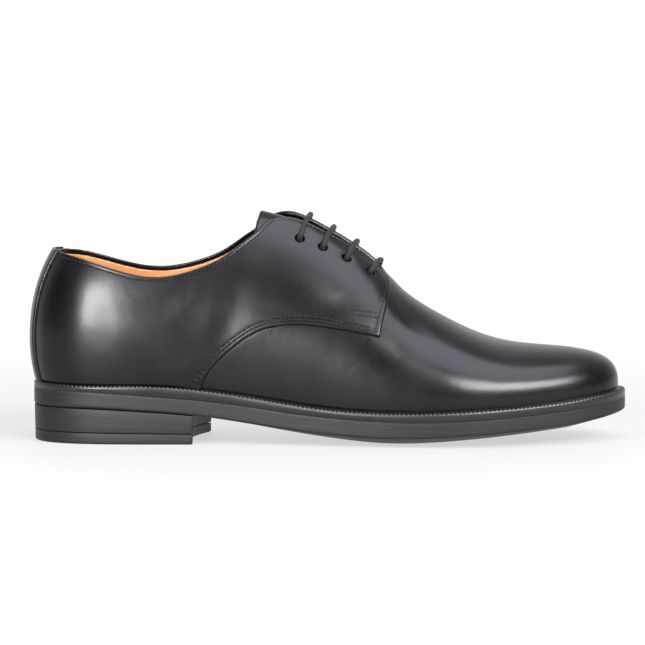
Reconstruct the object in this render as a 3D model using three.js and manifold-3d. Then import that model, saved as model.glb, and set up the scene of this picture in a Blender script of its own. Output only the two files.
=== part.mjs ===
// A right derby shoe: plain toe, open lacing with four eyelets a side, welted sole with a stacked heel.
// Millimetres, +Z up, toe towards +X, the lateral side towards -Y, standing on the floor at Z = 0.

import * as THREE from 'three';
import { mergeVertices } from 'three/addons/utils/BufferGeometryUtils.js';
import Module from 'manifold-3d';

const wasm = await Module();
wasm.setup();

// Driving sizes
const LENGTH = 304;
const BALL_WIDTH = 104;
const HEEL_SEAT_HEIGHT = 27.1;
const BALL_RIM_HEIGHT = 12.6;
const TOE_RIM_HEIGHT = 22.2;
const SOLE_EDGE = 8.8;
const SOLE_CROWN = 5.2;
const SOLE_EDGE_ROUND = 1.4;
const SOLE_RIM_ROUND = 0.6;
const WELT_HEIGHT = 5;
const WELT_STEP = 0.5;
const WELT_ROUND = 2;
const WELT_MARGIN = 5;
const TOP_LIFT_BACK = 5.9;
const TOP_LIFT_BREAST = 5.1;
const HEEL_TAPER = 0.3;
const HEEL_INSET = 0.2;
const HEEL_EDGE_ROUND = 1.2;
const BREAST_POSITION = 83;
const BREAST_SKEW = 9.5;
const BREAST_DEPTH = 5.7;
const INSOLE_THICKNESS = 3.4;
const INSTEP_RISE = 100;
const VAMP_WALL = 1.8;
const QUARTER_STEP = 1.3;
const QUARTER_WALL = 2.4;
const VAMP_UNDERLAP = 4;
const FACING_GAP_TOP = 14;
const FACING_GAP_THROAT = 11;
const TONGUE_THICKNESS = 2.6;
const TONGUE_WIDTH = 42;
const TONGUE_RISE_START = 0.585;
const TONGUE_RISE_END = 0.62;
const STRIP_WIDTH = 22;
const STRIP_THICKNESS = 1;
const EYELET_COUNT = 4;
const EYELET_DIAMETER = 4.6;
const EYELET_SETBACK = 10.3;
const EYELET_END_MARGIN = 9;
const EYELET_PITCH = 11.8;
const LACE_DIAMETER = 2.9;
const LACE_FLATTENED = 1.6;
const SEAT_GAP = 0.3;

// How finely the forms are faceted
const STATIONS = 34;
const WALL_ROWS = 13;
const SPINE_ENDS = 0.1;

// Plan of the sole's rim: share of the length, then half widths as shares of half the ball width.
const PLAN = [
  { u: 0.000, lateral: 0.000, medial: 0.000 },
  { u: 0.016, lateral: 0.318, medial: 0.315 },
  { u: 0.066, lateral: 0.545, medial: 0.535 },
  { u: 0.132, lateral: 0.622, medial: 0.604 },
  { u: 0.197, lateral: 0.640, medial: 0.606 },
  { u: 0.263, lateral: 0.640, medial: 0.580 },
  { u: 0.329, lateral: 0.650, medial: 0.552 },
  { u: 0.395, lateral: 0.690, medial: 0.545 },
  { u: 0.461, lateral: 0.757, medial: 0.590 },
  { u: 0.526, lateral: 0.835, medial: 0.695 },
  { u: 0.592, lateral: 0.912, medial: 0.828 },
  { u: 0.658, lateral: 0.963, medial: 0.940 },
  { u: 0.707, lateral: 0.975, medial: 0.988 },
  { u: 0.757, lateral: 0.945, medial: 0.986 },
  { u: 0.806, lateral: 0.875, medial: 0.938 },
  { u: 0.855, lateral: 0.770, medial: 0.845 },
  { u: 0.905, lateral: 0.640, medial: 0.715 },
  { u: 0.947, lateral: 0.490, medial: 0.570 },
  { u: 0.984, lateral: 0.262, medial: 0.350 },
  { u: 1.000, lateral: -0.058, medial: 0.058 },
];

// Side of the sole: rim height between ball and heel seat (heel) and between ball and toe (toe), the
// edge's thickness, the crown across the bottom, the welt's height and how far the upper stands in.
const SIDE = [
  { u: 0.000, heel: 1.000, toe: 0.000, edge: 0.980, crown: 0.00, welt: 0.62, margin: 0.66 },
  { u: 0.115, heel: 0.935, toe: 0.000, edge: 0.925, crown: 0.00, welt: 0.68, margin: 0.78 },
  { u: 0.190, heel: 0.830, toe: 0.000, edge: 0.890, crown: 0.00, welt: 0.98, margin: 0.84 },
  { u: 0.265, heel: 0.705, toe: 0.000, edge: 0.885, crown: 0.00, welt: 1.06, margin: 0.84 },
  { u: 0.365, heel: 0.460, toe: 0.000, edge: 0.960, crown: 0.22, welt: 0.96, margin: 0.82 },
  { u: 0.440, heel: 0.245, toe: 0.000, edge: 0.985, crown: 0.44, welt: 0.88, margin: 0.86 },
  { u: 0.515, heel: 0.095, toe: 0.000, edge: 0.990, crown: 0.70, welt: 0.80, margin: 0.92 },
  { u: 0.590, heel: 0.022, toe: 0.000, edge: 0.990, crown: 0.94, welt: 0.82, margin: 0.98 },
  { u: 0.650, heel: 0.000, toe: 0.010, edge: 0.930, crown: 1.00, welt: 0.88, margin: 1.00 },
  { u: 0.720, heel: 0.000, toe: 0.085, edge: 0.885, crown: 0.94, welt: 0.92, margin: 1.00 },
  { u: 0.790, heel: 0.000, toe: 0.215, edge: 0.865, crown: 0.80, welt: 0.92, margin: 0.98 },
  { u: 0.870, heel: 0.000, toe: 0.420, edge: 0.850, crown: 0.64, welt: 0.90, margin: 0.92 },
  { u: 0.945, heel: 0.000, toe: 0.690, edge: 0.820, crown: 0.50, welt: 0.90, margin: 0.82 },
  { u: 1.000, heel: 0.000, toe: 1.000, edge: 0.790, crown: 0.40, welt: 0.76, margin: 0.74 },
];

// Ridge of the upper along its middle: height above the rim as a share of the instep rise, and its
// place across as a share of half the ball width.
const RIDGE = [
  { u: 0.200, rise: 1.010, middle: -0.020 },
  { u: 0.300, rise: 1.040, middle: -0.020 },
  { u: 0.365, rise: 1.034, middle: -0.020 },
  { u: 0.411, rise: 1.018, middle: -0.020 },
  { u: 0.450, rise: 0.997, middle: -0.018 },
  { u: 0.493, rise: 0.942, middle: -0.014 },
  { u: 0.535, rise: 0.872, middle: -0.010 },
  { u: 0.570, rise: 0.797, middle: -0.005 },
  { u: 0.596, rise: 0.722, middle: 0.000 },
  { u: 0.620, rise: 0.652, middle: 0.005 },
  { u: 0.655, rise: 0.571, middle: 0.012 },
  { u: 0.695, rise: 0.496, middle: 0.020 },
  { u: 0.735, rise: 0.430, middle: 0.027 },
  { u: 0.780, rise: 0.372, middle: 0.033 },
  { u: 0.825, rise: 0.337, middle: 0.038 },
  { u: 0.880, rise: 0.309, middle: 0.042 },
];

// Sections of the last from the feather line up to the ridge, each a cubic curve: where it meets the
// ridge, how steeply it rises, how far each side swells out, and how full each side is near the top.
const LAST = [
  { u: 0.000, ridge: 0.200, rise: 0.353, swellLat: 0.100, swellMed: 0.100, fullLat: 0.925, fullMed: 0.925 },
  { u: 0.030, ridge: 0.210, rise: 0.338, swellLat: 0.086, swellMed: 0.086, fullLat: 0.918, fullMed: 0.918 },
  { u: 0.075, ridge: 0.230, rise: 0.312, swellLat: 0.072, swellMed: 0.077, fullLat: 0.905, fullMed: 0.905 },
  { u: 0.200, ridge: 0.285, rise: 0.280, swellLat: 0.065, swellMed: 0.075, fullLat: 0.870, fullMed: 0.880 },
  { u: 0.330, ridge: 0.356, rise: 0.340, swellLat: 0.080, swellMed: 0.115, fullLat: 0.780, fullMed: 0.830 },
  { u: 0.410, ridge: 0.420, rise: 0.370, swellLat: 0.090, swellMed: 0.150, fullLat: 0.680, fullMed: 0.780 },
  { u: 0.495, ridge: 0.494, rise: 0.390, swellLat: 0.075, swellMed: 0.135, fullLat: 0.600, fullMed: 0.700 },
  { u: 0.575, ridge: 0.571, rise: 0.345, swellLat: 0.060, swellMed: 0.090, fullLat: 0.545, fullMed: 0.590 },
  { u: 0.658, ridge: 0.645, rise: 0.275, swellLat: 0.050, swellMed: 0.052, fullLat: 0.520, fullMed: 0.520 },
  { u: 0.757, ridge: 0.722, rise: 0.208, swellLat: 0.042, swellMed: 0.042, fullLat: 0.560, fullMed: 0.560 },
  { u: 0.825, ridge: 0.770, rise: 0.180, swellLat: 0.036, swellMed: 0.036, fullLat: 0.610, fullMed: 0.610 },
  { u: 0.920, ridge: 0.826, rise: 0.165, swellLat: 0.025, swellMed: 0.025, fullLat: 0.690, fullMed: 0.690 },
  { u: 1.000, ridge: 0.862, rise: 0.158, swellLat: 0.015, swellMed: 0.015, fullLat: 0.735, fullMed: 0.735 },
];

// Topline, from the back seam to the top of the facing: share of the length, and height above the rim
// as a share of the instep rise on each side.
const TOPLINE = [
  { u: -0.030, lateral: 0.712, medial: 0.712 },
  { u: 0.024, lateral: 0.710, medial: 0.710 },
  { u: 0.042, lateral: 0.699, medial: 0.707 },
  { u: 0.082, lateral: 0.674, medial: 0.692 },
  { u: 0.115, lateral: 0.648, medial: 0.669 },
  { u: 0.149, lateral: 0.624, medial: 0.645 },
  { u: 0.182, lateral: 0.608, medial: 0.630 },
  { u: 0.214, lateral: 0.609, medial: 0.631 },
  { u: 0.241, lateral: 0.625, medial: 0.646 },
  { u: 0.276, lateral: 0.664, medial: 0.681 },
  { u: 0.311, lateral: 0.718, medial: 0.734 },
  { u: 0.334, lateral: 0.770, medial: 0.785 },
  { u: 0.355, lateral: 0.826, medial: 0.840 },
  { u: 0.376, lateral: 0.882, medial: 0.893 },
  { u: 0.392, lateral: 0.938, medial: 0.946 },
  { u: 0.409, lateral: 0.976, medial: 0.985 },
  { u: 0.425, lateral: 1.010, medial: 1.020 },
];

// Front edge of the quarter, from over the facing's end down its rounded corner to the sharp corner,
// then back along the lower seam to the welt.
const QUARTER_FRONT = [
  { u: 0.570, rise: 0.840 },
  { u: 0.580, rise: 0.765 },
  { u: 0.5915, rise: 0.722 },
  { u: 0.5985, rise: 0.687 },
  { u: 0.6010, rise: 0.655 },
  { u: 0.5980, rise: 0.612 },
  { u: 0.5925, rise: 0.550 },
  { u: 0.5862, rise: 0.474 },
  { u: 0.5825, rise: 0.420 },
];
const QUARTER_LOWER = [
  { u: 0.5825, rise: 0.420 },
  { u: 0.5510, rise: 0.434 },
  { u: 0.5180, rise: 0.447 },
  { u: 0.4600, rise: 0.455 },
  { u: 0.4260, rise: 0.440 },
  { u: 0.3900, rise: 0.404 },
  { u: 0.3620, rise: 0.349 },
  { u: 0.3380, rise: 0.286 },
  { u: 0.3150, rise: 0.215 },
  { u: 0.2965, rise: 0.142 },
  { u: 0.2840, rise: 0.060 },
  { u: 0.2760, rise: -0.060 },
];

// Tongue, seen from above: share of the length and half width as a share of half the tongue's width.
const TONGUE = [
  { u: 0.386, half: 0.000 },
  { u: 0.383, half: 0.400 },
  { u: 0.376, half: 0.760 },
  { u: 0.380, half: 0.960 },
  { u: 0.398, half: 1.040 },
  { u: 0.460, half: 1.020 },
  { u: 0.550, half: 0.900 },
  { u: 0.620, half: 0.780 },
  { u: 0.650, half: 0.600 },
  { u: 0.662, half: 0.000 },
];

const HALF_BALL = BALL_WIDTH / 2;
const QUARTER_INSIDE = QUARTER_STEP - QUARTER_WALL;
const FACING_TOP = TOPLINE[TOPLINE.length - 1].u;
const LACE_ROOM = LACE_FLATTENED + 3 * SEAT_GAP;

// Smooth curve through a table: the natural cubic spline of one column over another.
function spline(rows, place, column) {
  const x = rows.map(place);
  const y = rows.map((row) => row[column]);
  const last = rows.length - 1;
  const bend = new Array(rows.length).fill(0);
  const carry = new Array(rows.length).fill(0);
  for (let i = 1; i < last; i += 1) {
    const before = x[i] - x[i - 1];
    const after = x[i + 1] - x[i];
    const pivot = 2 * (before + after) - before * carry[i - 1];
    const kink = (y[i + 1] - y[i]) / after - (y[i] - y[i - 1]) / before;
    carry[i] = after / pivot;
    bend[i] = (6 * kink - before * bend[i - 1]) / pivot;
  }
  for (let i = last - 1; i > 0; i -= 1) {
    bend[i] -= carry[i] * bend[i + 1];
  }
  return (at) => {
    let i = 0;
    while (i < last - 1 && at > x[i + 1]) {
      i += 1;
    }
    const span = x[i + 1] - x[i];
    const right = (at - x[i]) / span;
    const left = 1 - right;
    const line = left * y[i] + right * y[i + 1];
    if (right < 0 || right > 1) {
      const end = right < 0 ? i : i + 1;
      const sign = right < 0 ? -1 : 1;
      const slope = (y[i + 1] - y[i]) / span + sign * span * (2 * bend[end] + bend[2 * i + 1 - end]) / 6;
      return y[end] + slope * (at - x[end]);
    }
    const curve = (left ** 3 - left) * bend[i] + (right ** 3 - right) * bend[i + 1];
    return line + curve * span * span / 6;
  };
}

// Places along the shoe run as an angle, from 0 at the heel's back to PI at the toe's tip, so that both
// round ends get close stations.
const angleOf = (row) => Math.acos(1 - 2 * row.u);
const shareOf = (angle) => (1 - Math.cos(angle)) / 2;
const byShare = (row) => row.u;

const plan = { '-1': spline(PLAN, angleOf, 'lateral'), 1: spline(PLAN, angleOf, 'medial') };
const side = {};
for (const column of ['heel', 'toe', 'edge', 'crown', 'welt', 'margin']) {
  side[column] = spline(SIDE, byShare, column);
}
const last = {};
for (const column of ['ridge', 'rise', 'swellLat', 'swellMed', 'fullLat', 'fullMed']) {
  last[column] = spline(LAST, byShare, column);
}
const ridgeRise = spline(RIDGE, byShare, 'rise');
const ridgeMiddle = spline(RIDGE, byShare, 'middle');

function rimHeight(u) {
  const heel = side.heel(u) * (HEEL_SEAT_HEIGHT - BALL_RIM_HEIGHT);
  const toe = side.toe(u) * (TOE_RIM_HEIGHT - BALL_RIM_HEIGHT);
  return BALL_RIM_HEIGHT + heel + toe;
}

const soleBottom = (u) => rimHeight(u) - SOLE_EDGE * side.edge(u);
const weltBottom = (u) => rimHeight(u) + SEAT_GAP;
const weltTop = (u) => weltBottom(u) + WELT_HEIGHT * side.welt(u);
const featherHeight = (u) => weltTop(u) + SEAT_GAP;
const featherInset = (u) => WELT_MARGIN * side.margin(u);
const ridgeHeight = (u) => rimHeight(u) + INSTEP_RISE * ridgeRise(u);

// Point of the plan, a distance inside the rim. The hand is -1 on the lateral side and 1 on the medial.
function planPoint(angle, hand, inset) {
  const step = 1e-4;
  const at = (a) => new THREE.Vector2(LENGTH * shareOf(a), hand * HALF_BALL * plan[hand](a));
  const along = at(angle + step).sub(at(angle - step)).normalize();
  const point = at(angle);
  point.x += hand * along.y * inset;
  point.y -= hand * along.x * inset;
  return point;
}

// Point of the plan's middle line, kept inside both round ends.
function spinePoint(angle) {
  const low = angleOf({ u: SPINE_ENDS });
  const at = THREE.MathUtils.clamp(angle, low, Math.PI - low);
  return planPoint(at, -1, 0).add(planPoint(at, 1, 0)).multiplyScalar(0.5);
}

// One section's cubic curve, as its four points.
function sectionCurve(angle, hand) {
  const u = shareOf(angle);
  const foot = planPoint(angle, hand, featherInset(u));
  const out = planPoint(angle, hand, featherInset(u) - 1).sub(foot);
  const top = last.ridge(u);
  const step = 1e-4;
  const slope = (ridgeHeight(top + step) - ridgeHeight(top - step)) / (2 * step * LENGTH);
  const swell = INSTEP_RISE * (hand < 0 ? last.swellLat(u) : last.swellMed(u));
  const full = hand < 0 ? last.fullLat(u) : last.fullMed(u);
  const a = new THREE.Vector3(foot.x, foot.y, featherHeight(u));
  const rise = INSTEP_RISE * last.rise(u);
  const b = new THREE.Vector3(foot.x + out.x * swell, foot.y + out.y * swell, a.z + rise);
  const d = new THREE.Vector3(LENGTH * top, HALF_BALL * ridgeMiddle(top), ridgeHeight(top));
  const c = new THREE.Vector3(d.x + full * (a.x - d.x), d.y + full * (a.y - d.y), 0);
  c.z = d.z + slope * (c.x - d.x);
  return { curve: new THREE.CubicBezierCurve3(a, b, c, d), slope };
}

// Point of the last's surface, moved outwards by a distance, and the surface's direction there.
function lastSurface(angle, hand, t) {
  const step = 1e-4;
  const { curve, slope } = sectionCurve(angle, hand);
  const point = curve.getPoint(t);
  if (t > 1 - step) {
    return { point, normal: new THREE.Vector3(-slope, 0, 1).normalize() };
  }
  const up = curve.getPoint(t + step).sub(curve.getPoint(Math.max(t - step, 0)));
  const ahead = sectionCurve(angle + step, hand).curve.getPoint(t);
  const along = ahead.sub(sectionCurve(angle - step, hand).curve.getPoint(t));
  return { point, normal: along.cross(up).multiplyScalar(-hand).normalize() };
}

function lastPoint(angle, hand, t, offset) {
  const { point, normal } = lastSurface(angle, hand, t);
  return point.addScaledVector(normal, offset);
}

// Where the last's surface lies over a point of the plan: its angle and its place up the section.
function findOnLast(x, y) {
  const hand = y < HALF_BALL * ridgeMiddle(x / LENGTH) ? -1 : 1;
  let best = { miss: Infinity };
  for (let i = 1; i < 60; i += 1) {
    for (let j = 10; j <= 40; j += 1) {
      const angle = Math.PI * i / 60;
      const p = sectionCurve(angle, hand).curve.getPoint(j / 40);
      const miss = Math.hypot(p.x - x, p.y - y);
      if (miss < best.miss) {
        best = { miss, angle, t: j / 40 };
      }
    }
  }
  let { angle, t } = best;
  const step = 1e-4;
  for (let round = 0; round < 8; round += 1) {
    const p = sectionCurve(angle, hand).curve.getPoint(t);
    const pa = sectionCurve(angle + step, hand).curve.getPoint(t).sub(p).divideScalar(step);
    const pt = p.clone().sub(sectionCurve(angle, hand).curve.getPoint(t - step)).divideScalar(step);
    const det = pa.x * pt.y - pa.y * pt.x;
    const dx = x - p.x;
    const dy = y - p.y;
    angle += (dx * pt.y - dy * pt.x) / det;
    t = Math.min(t + (dy * pa.x - dx * pa.y) / det, 1);
  }
  return { angle, hand, t };
}

function overPlan(x, y, offset) {
  const { angle, hand, t } = findOnLast(x, y);
  return lastPoint(angle, hand, t, offset);
}

// Solids from rings of points: every ring runs from the toe's tip along the lateral side to the heel's
// back and on along the medial side, and a cap joins each pair of points across the shoe.
const RING = [];
for (let i = STATIONS; i > 0; i -= 1) {
  RING.push({ angle: Math.PI * i / STATIONS, hand: -1 });
}
for (let i = 0; i < STATIONS; i += 1) {
  RING.push({ angle: Math.PI * i / STATIONS, hand: 1 });
}

function closedGeometry(points, faces) {
  const raw = new THREE.BufferGeometry();
  raw.setAttribute('position', new THREE.Float32BufferAttribute(points.flatMap((p) => [p.x, p.y, p.z]), 3));
  raw.setIndex(faces);
  const merged = mergeVertices(raw, 1e-4);
  const index = merged.index.array;
  const kept = [];
  for (let i = 0; i < index.length; i += 3) {
    const [a, b, c] = [index[i], index[i + 1], index[i + 2]];
    if (a !== b && b !== c && c !== a) {
      kept.push(a, b, c);
    }
  }
  merged.setIndex(kept);
  return merged;
}

function ringFaces(count, turns, closed) {
  const faces = [];
  const steps = closed ? turns : turns - 1;
  for (let j = 0; j < steps; j += 1) {
    for (let i = 0; i < count; i += 1) {
      const a = j * count + i;
      const b = j * count + (i + 1) % count;
      const up = ((j + 1) % turns) * count - j * count;
      faces.push(a, b + up, b, a, a + up, b + up);
    }
  }
  return faces;
}

function capFaces(count, start, upwards) {
  const faces = [];
  for (let i = 0; i < count / 2; i += 1) {
    const a = start + i;
    const b = start + i + 1;
    const c = start + (count - i - 1) % count;
    const d = start + (count - i) % count;
    const quad = upwards ? [a, c, b, a, d, c] : [a, b, c, a, c, d];
    faces.push(...quad);
  }
  return faces;
}

function ringSolid(rings) {
  const count = rings[0].length;
  const faces = ringFaces(count, rings.length, false);
  faces.push(...capFaces(count, 0, false));
  faces.push(...capFaces(count, (rings.length - 1) * count, true));
  return closedGeometry(rings.flat(), faces);
}

function ringLoop(rings) {
  return closedGeometry(rings.flat(), ringFaces(rings[0].length, rings.length, true));
}

function planRing(inset, height) {
  return RING.map(({ angle, hand }) => {
    const u = shareOf(angle);
    const p = planPoint(angle, hand, typeof inset === 'function' ? inset(u) : inset);
    return new THREE.Vector3(p.x, p.y, height(u));
  });
}

// Solid of the last at an offset from its surface. A drop carries its lower end down past the feather.
function lastSolid(offset, drop = 0) {
  const rings = [];
  for (let j = 0; j <= WALL_ROWS; j += 1) {
    const t = j / WALL_ROWS;
    rings.push(RING.map(({ angle, hand }) => lastPoint(angle, hand, t, offset(shareOf(angle)))));
  }
  if (drop > 0) {
    rings.unshift(rings[0].map((p) => new THREE.Vector3(p.x, p.y, p.z - drop)));
  }
  return toSolid(ringSolid(rings));
}

const toSolid = (geometry) => {
  const plain = geometry.index ? geometry.clone() : geometry;
  plain.deleteAttribute('normal');
  plain.deleteAttribute('uv');
  const merged = mergeVertices(plain, 1e-4);
  return new wasm.Manifold(new wasm.Mesh({
    numProp: 3,
    vertProperties: new Float32Array(merged.attributes.position.array),
    triVerts: new Uint32Array(merged.index.array),
  }));
};

function toGeometry(solid) {
  const mesh = solid.getMesh();
  const geometry = new THREE.BufferGeometry();
  geometry.setAttribute('position', new THREE.BufferAttribute(mesh.vertProperties, 3));
  geometry.setIndex(new THREE.BufferAttribute(mesh.triVerts, 1));
  return geometry;
}

function boxSolid(low, high) {
  const geometry = new THREE.BoxGeometry(high.x - low.x, high.y - low.y, high.z - low.z);
  geometry.translate((low.x + high.x) / 2, (low.y + high.y) / 2, (low.z + high.z) / 2);
  return toSolid(geometry);
}

// Prism across the shoe from a side view outline that may differ on its two sides.
function acrossSolid(lateral, medial) {
  const flat = lateral.map((p) => new THREE.Vector2(p.x, p.z));
  if (THREE.ShapeUtils.isClockWise(flat)) {
    return acrossSolid([...lateral].reverse(), [...medial].reverse());
  }
  const reach = BALL_WIDTH;
  const lean = reach / (BALL_WIDTH / 4);
  const points = [];
  for (const way of [-1, 1]) {
    lateral.forEach((p, i) => {
      const middle = p.clone().add(medial[i]).multiplyScalar(0.5);
      const point = middle.addScaledVector(medial[i].clone().sub(p), way * lean / 2);
      point.y = way * reach;
      points.push(point);
    });
  }
  const count = lateral.length;
  const faces = [];
  for (const [a, b, c] of THREE.ShapeUtils.triangulateShape(flat, [])) {
    faces.push(a, b, c, a + count, c + count, b + count);
  }
  for (let i = 0; i < count; i += 1) {
    const j = (i + 1) % count;
    faces.push(i, i + count, j + count, i, j + count, j);
  }
  return toSolid(closedGeometry(points, faces));
}

// Prism standing over a plan view outline.
function standingSolid(outline, low, high) {
  const shape = new THREE.Shape(outline.map((p) => new THREE.Vector2(p.x, p.y)));
  const geometry = new THREE.ExtrudeGeometry(shape, { depth: high - low, bevelEnabled: false });
  geometry.translate(0, 0, low);
  return toSolid(geometry);
}

// Side view points from a table of heights above the rim.
const sidePoint = (u, rise) => new THREE.Vector3(LENGTH * u, 0, rimHeight(u) + INSTEP_RISE * rise);

function smoothLine(points, count) {
  return new THREE.CatmullRomCurve3(points, false, 'centripetal').getPoints(count);
}

const tableLine = (rows, count) => smoothLine(rows.map((row) => sidePoint(row.u, row.rise)), count);

function shiftLine(points, distance) {
  return points.map((p, i) => {
    const before = points[Math.max(i - 1, 0)];
    const after = points[Math.min(i + 1, points.length - 1)];
    const along = after.clone().sub(before).normalize();
    return new THREE.Vector3(p.x + along.z * distance, 0, p.z - along.x * distance);
  });
}

const SKY = BALL_RIM_HEIGHT + 2 * INSTEP_RISE;
const FLOOR_BELOW = -INSTEP_RISE;

function quarterSolid() {
  const outline = (hand) => {
    const top = smoothLine(TOPLINE.map((row) => sidePoint(row.u, row[hand])), 30);
    const front = tableLine(QUARTER_FRONT, 16);
    const lower = tableLine(QUARTER_LOWER, 20);
    const above = [sidePoint(FACING_TOP, 1.2), sidePoint(QUARTER_FRONT[0].u, 1.2)];
    const below = new THREE.Vector3(lower.at(-1).x, 0, FLOOR_BELOW);
    const behind = new THREE.Vector3(top[0].x, 0, FLOOR_BELOW);
    return [...top, ...above, ...front, ...lower.slice(1), below, behind];
  };
  return acrossSolid(outline('lateral'), outline('medial'));
}

function vampSolid() {
  const under = (rows, count) => shiftLine(tableLine(rows, count), VAMP_UNDERLAP);
  const front = under(QUARTER_FRONT.slice(2), 8);
  const lower = under(QUARTER_LOWER, 12);
  const ahead = LENGTH + BALL_WIDTH;
  const outline = [
    new THREE.Vector3(ahead, 0, FLOOR_BELOW),
    new THREE.Vector3(ahead, 0, SKY),
    new THREE.Vector3(front[0].x, 0, SKY),
    ...front,
    ...lower.slice(2),
    new THREE.Vector3(lower.at(-1).x, 0, FLOOR_BELOW),
  ];
  return acrossSolid(outline, outline);
}

const facingMiddle = (u) => HALF_BALL * ridgeMiddle(u);
function facingEdge(x, hand) {
  const along = (x / LENGTH - FACING_TOP) / (QUARTER_FRONT[4].u - FACING_TOP);
  const gap = THREE.MathUtils.lerp(FACING_GAP_TOP, FACING_GAP_THROAT, along);
  return facingMiddle(x / LENGTH) + hand * gap / 2;
}

function facingGapSolid() {
  const steps = 8;
  const start = LENGTH * 0.3;
  const end = LENGTH * (QUARTER_FRONT[4].u + 0.03);
  const outline = [];
  for (let i = 0; i <= steps; i += 1) {
    const x = THREE.MathUtils.lerp(start, end, i / steps);
    outline.push(new THREE.Vector2(x, facingEdge(x, -1)));
  }
  for (let i = steps; i >= 0; i -= 1) {
    const x = THREE.MathUtils.lerp(start, end, i / steps);
    outline.push(new THREE.Vector2(x, facingEdge(x, 1)));
  }
  return standingSolid(outline, HEEL_SEAT_HEIGHT, SKY);
}

// Eyelet places: a pitch apart along the facing's edge, set back from it square to it.
function eyeletPlace(i, hand) {
  const x = LENGTH * FACING_TOP + EYELET_END_MARGIN + i * EYELET_PITCH;
  const edge = overPlan(x, facingEdge(x, hand), 0);
  const ahead = overPlan(x + 1, facingEdge(x + 1, hand), 0);
  const { angle, t } = findOnLast(edge.x, edge.y);
  const { normal } = lastSurface(angle, hand, t);
  const down = ahead.sub(edge).cross(normal).normalize().multiplyScalar(-hand * EYELET_SETBACK);
  const target = edge.clone().add(down);
  return { ...findOnLast(target.x, target.y), edge: { x, y: facingEdge(x, hand) } };
}

function eyeletSolid(place) {
  const { point, normal } = lastSurface(place.angle, place.hand, place.t);
  const radius = EYELET_DIAMETER / 2;
  const hole = new THREE.CylinderGeometry(radius, radius, 4 * QUARTER_WALL, 12);
  hole.applyQuaternion(new THREE.Quaternion().setFromUnitVectors(new THREE.Vector3(0, 1, 0), normal));
  hole.translate(point.x, point.y, point.z);
  return toSolid(hole);
}

const eyelets = [];
for (let i = 0; i < EYELET_COUNT; i += 1) {
  eyelets.push([eyeletPlace(i, -1), eyeletPlace(i, 1)]);
}

// What the upper stands on: everything below a small gap over the welt.
function standingRoom() {
  const around = -2 * WELT_MARGIN;
  return toSolid(ringSolid([
    planRing(around, () => FLOOR_BELOW),
    planRing(around, featherHeight),
    planRing((u) => featherInset(u) + VAMP_WALL, featherHeight),
  ]));
}

// The upper: quarters stand a step proud of the vamp, which runs on under them.
function upperGeometry() {
  const drop = 4 * WELT_HEIGHT;
  const wall = (outside, thickness) => {
    const inner = lastSolid(() => outside - thickness, drop);
    return lastSolid(() => outside).subtract(inner);
  };
  const vamp = wall(0, VAMP_WALL).intersect(vampSolid());
  let quarters = wall(QUARTER_STEP, QUARTER_WALL).intersect(quarterSolid());
  quarters = quarters.subtract(facingGapSolid());
  for (const place of eyelets.flat()) {
    quarters = quarters.subtract(eyeletSolid(place));
  }
  return toGeometry(vamp.add(quarters).subtract(standingRoom()));
}

function backStripGeometry() {
  const inner = QUARTER_STEP + SEAT_GAP;
  const half = STRIP_WIDTH / 2;
  const skin = lastSolid(() => inner + STRIP_THICKNESS).subtract(lastSolid(() => inner, 4 * WELT_HEIGHT));
  const low = new THREE.Vector3(-INSTEP_RISE, -half, FLOOR_BELOW);
  const high = new THREE.Vector3(BREAST_POSITION / 2, half, SKY);
  const strip = skin.intersect(boxSolid(low, high)).intersect(quarterSolid());
  return toGeometry(strip.subtract(standingRoom()));
}

// The tongue lies under the facings with room for the lace, and rises to the vamp that it is sewn under.
function tongueOffset(u) {
  const along = THREE.MathUtils.smoothstep(u, TONGUE_RISE_START, TONGUE_RISE_END);
  return THREE.MathUtils.lerp(QUARTER_INSIDE - LACE_ROOM, -VAMP_WALL - SEAT_GAP, along);
}

function tongueGeometry() {
  const half = (row, hand) => {
    const y = facingMiddle(row.u) + hand * row.half * TONGUE_WIDTH / 2;
    return new THREE.Vector3(LENGTH * row.u, y, 0);
  };
  const lateral = TONGUE.map((row) => half(row, -1));
  const medial = TONGUE.slice(1, -1).reverse().map((row) => half(row, 1));
  const curve = new THREE.CatmullRomCurve3([...lateral, ...medial], true, 'centripetal');
  const outline = curve.getPoints(40).slice(0, 40);
  const ridge = (angle) => tongueOffset(last.ridge(shareOf(angle)));
  const fromShare = (u) => ridge(angleOf({ u }));
  const skin = lastSolid(fromShare).subtract(lastSolid((u) => fromShare(u) - TONGUE_THICKNESS));
  return toGeometry(skin.intersect(standingSolid(outline, HEEL_SEAT_HEIGHT + INSTEP_RISE / 4, SKY)));
}

// Tube along points, round or flattened, with its flat side along a given direction at each point.
function tubeSolid(points, flats, width, thickness, sides = 8) {
  const rings = points.map((p, i) => {
    const before = points[Math.max(i - 1, 0)];
    const after = points[Math.min(i + 1, points.length - 1)];
    const along = after.clone().sub(before).normalize();
    const across = along.clone().cross(flats[i]).normalize();
    const up = across.clone().cross(along).normalize();
    return Array.from({ length: sides }, (_, k) => {
      const turn = 2 * Math.PI * k / sides;
      const point = p.clone().addScaledVector(across, Math.cos(turn) * width / 2);
      return point.addScaledVector(up, Math.sin(turn) * thickness / 2);
    });
  });
  const faces = ringFaces(sides, rings.length, false);
  const end = (rings.length - 1) * sides;
  for (let k = 1; k < sides - 1; k += 1) {
    faces.push(0, k, k + 1, end, end + k + 1, end + k);
  }
  return toSolid(closedGeometry(rings.flat(), faces));
}

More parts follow.
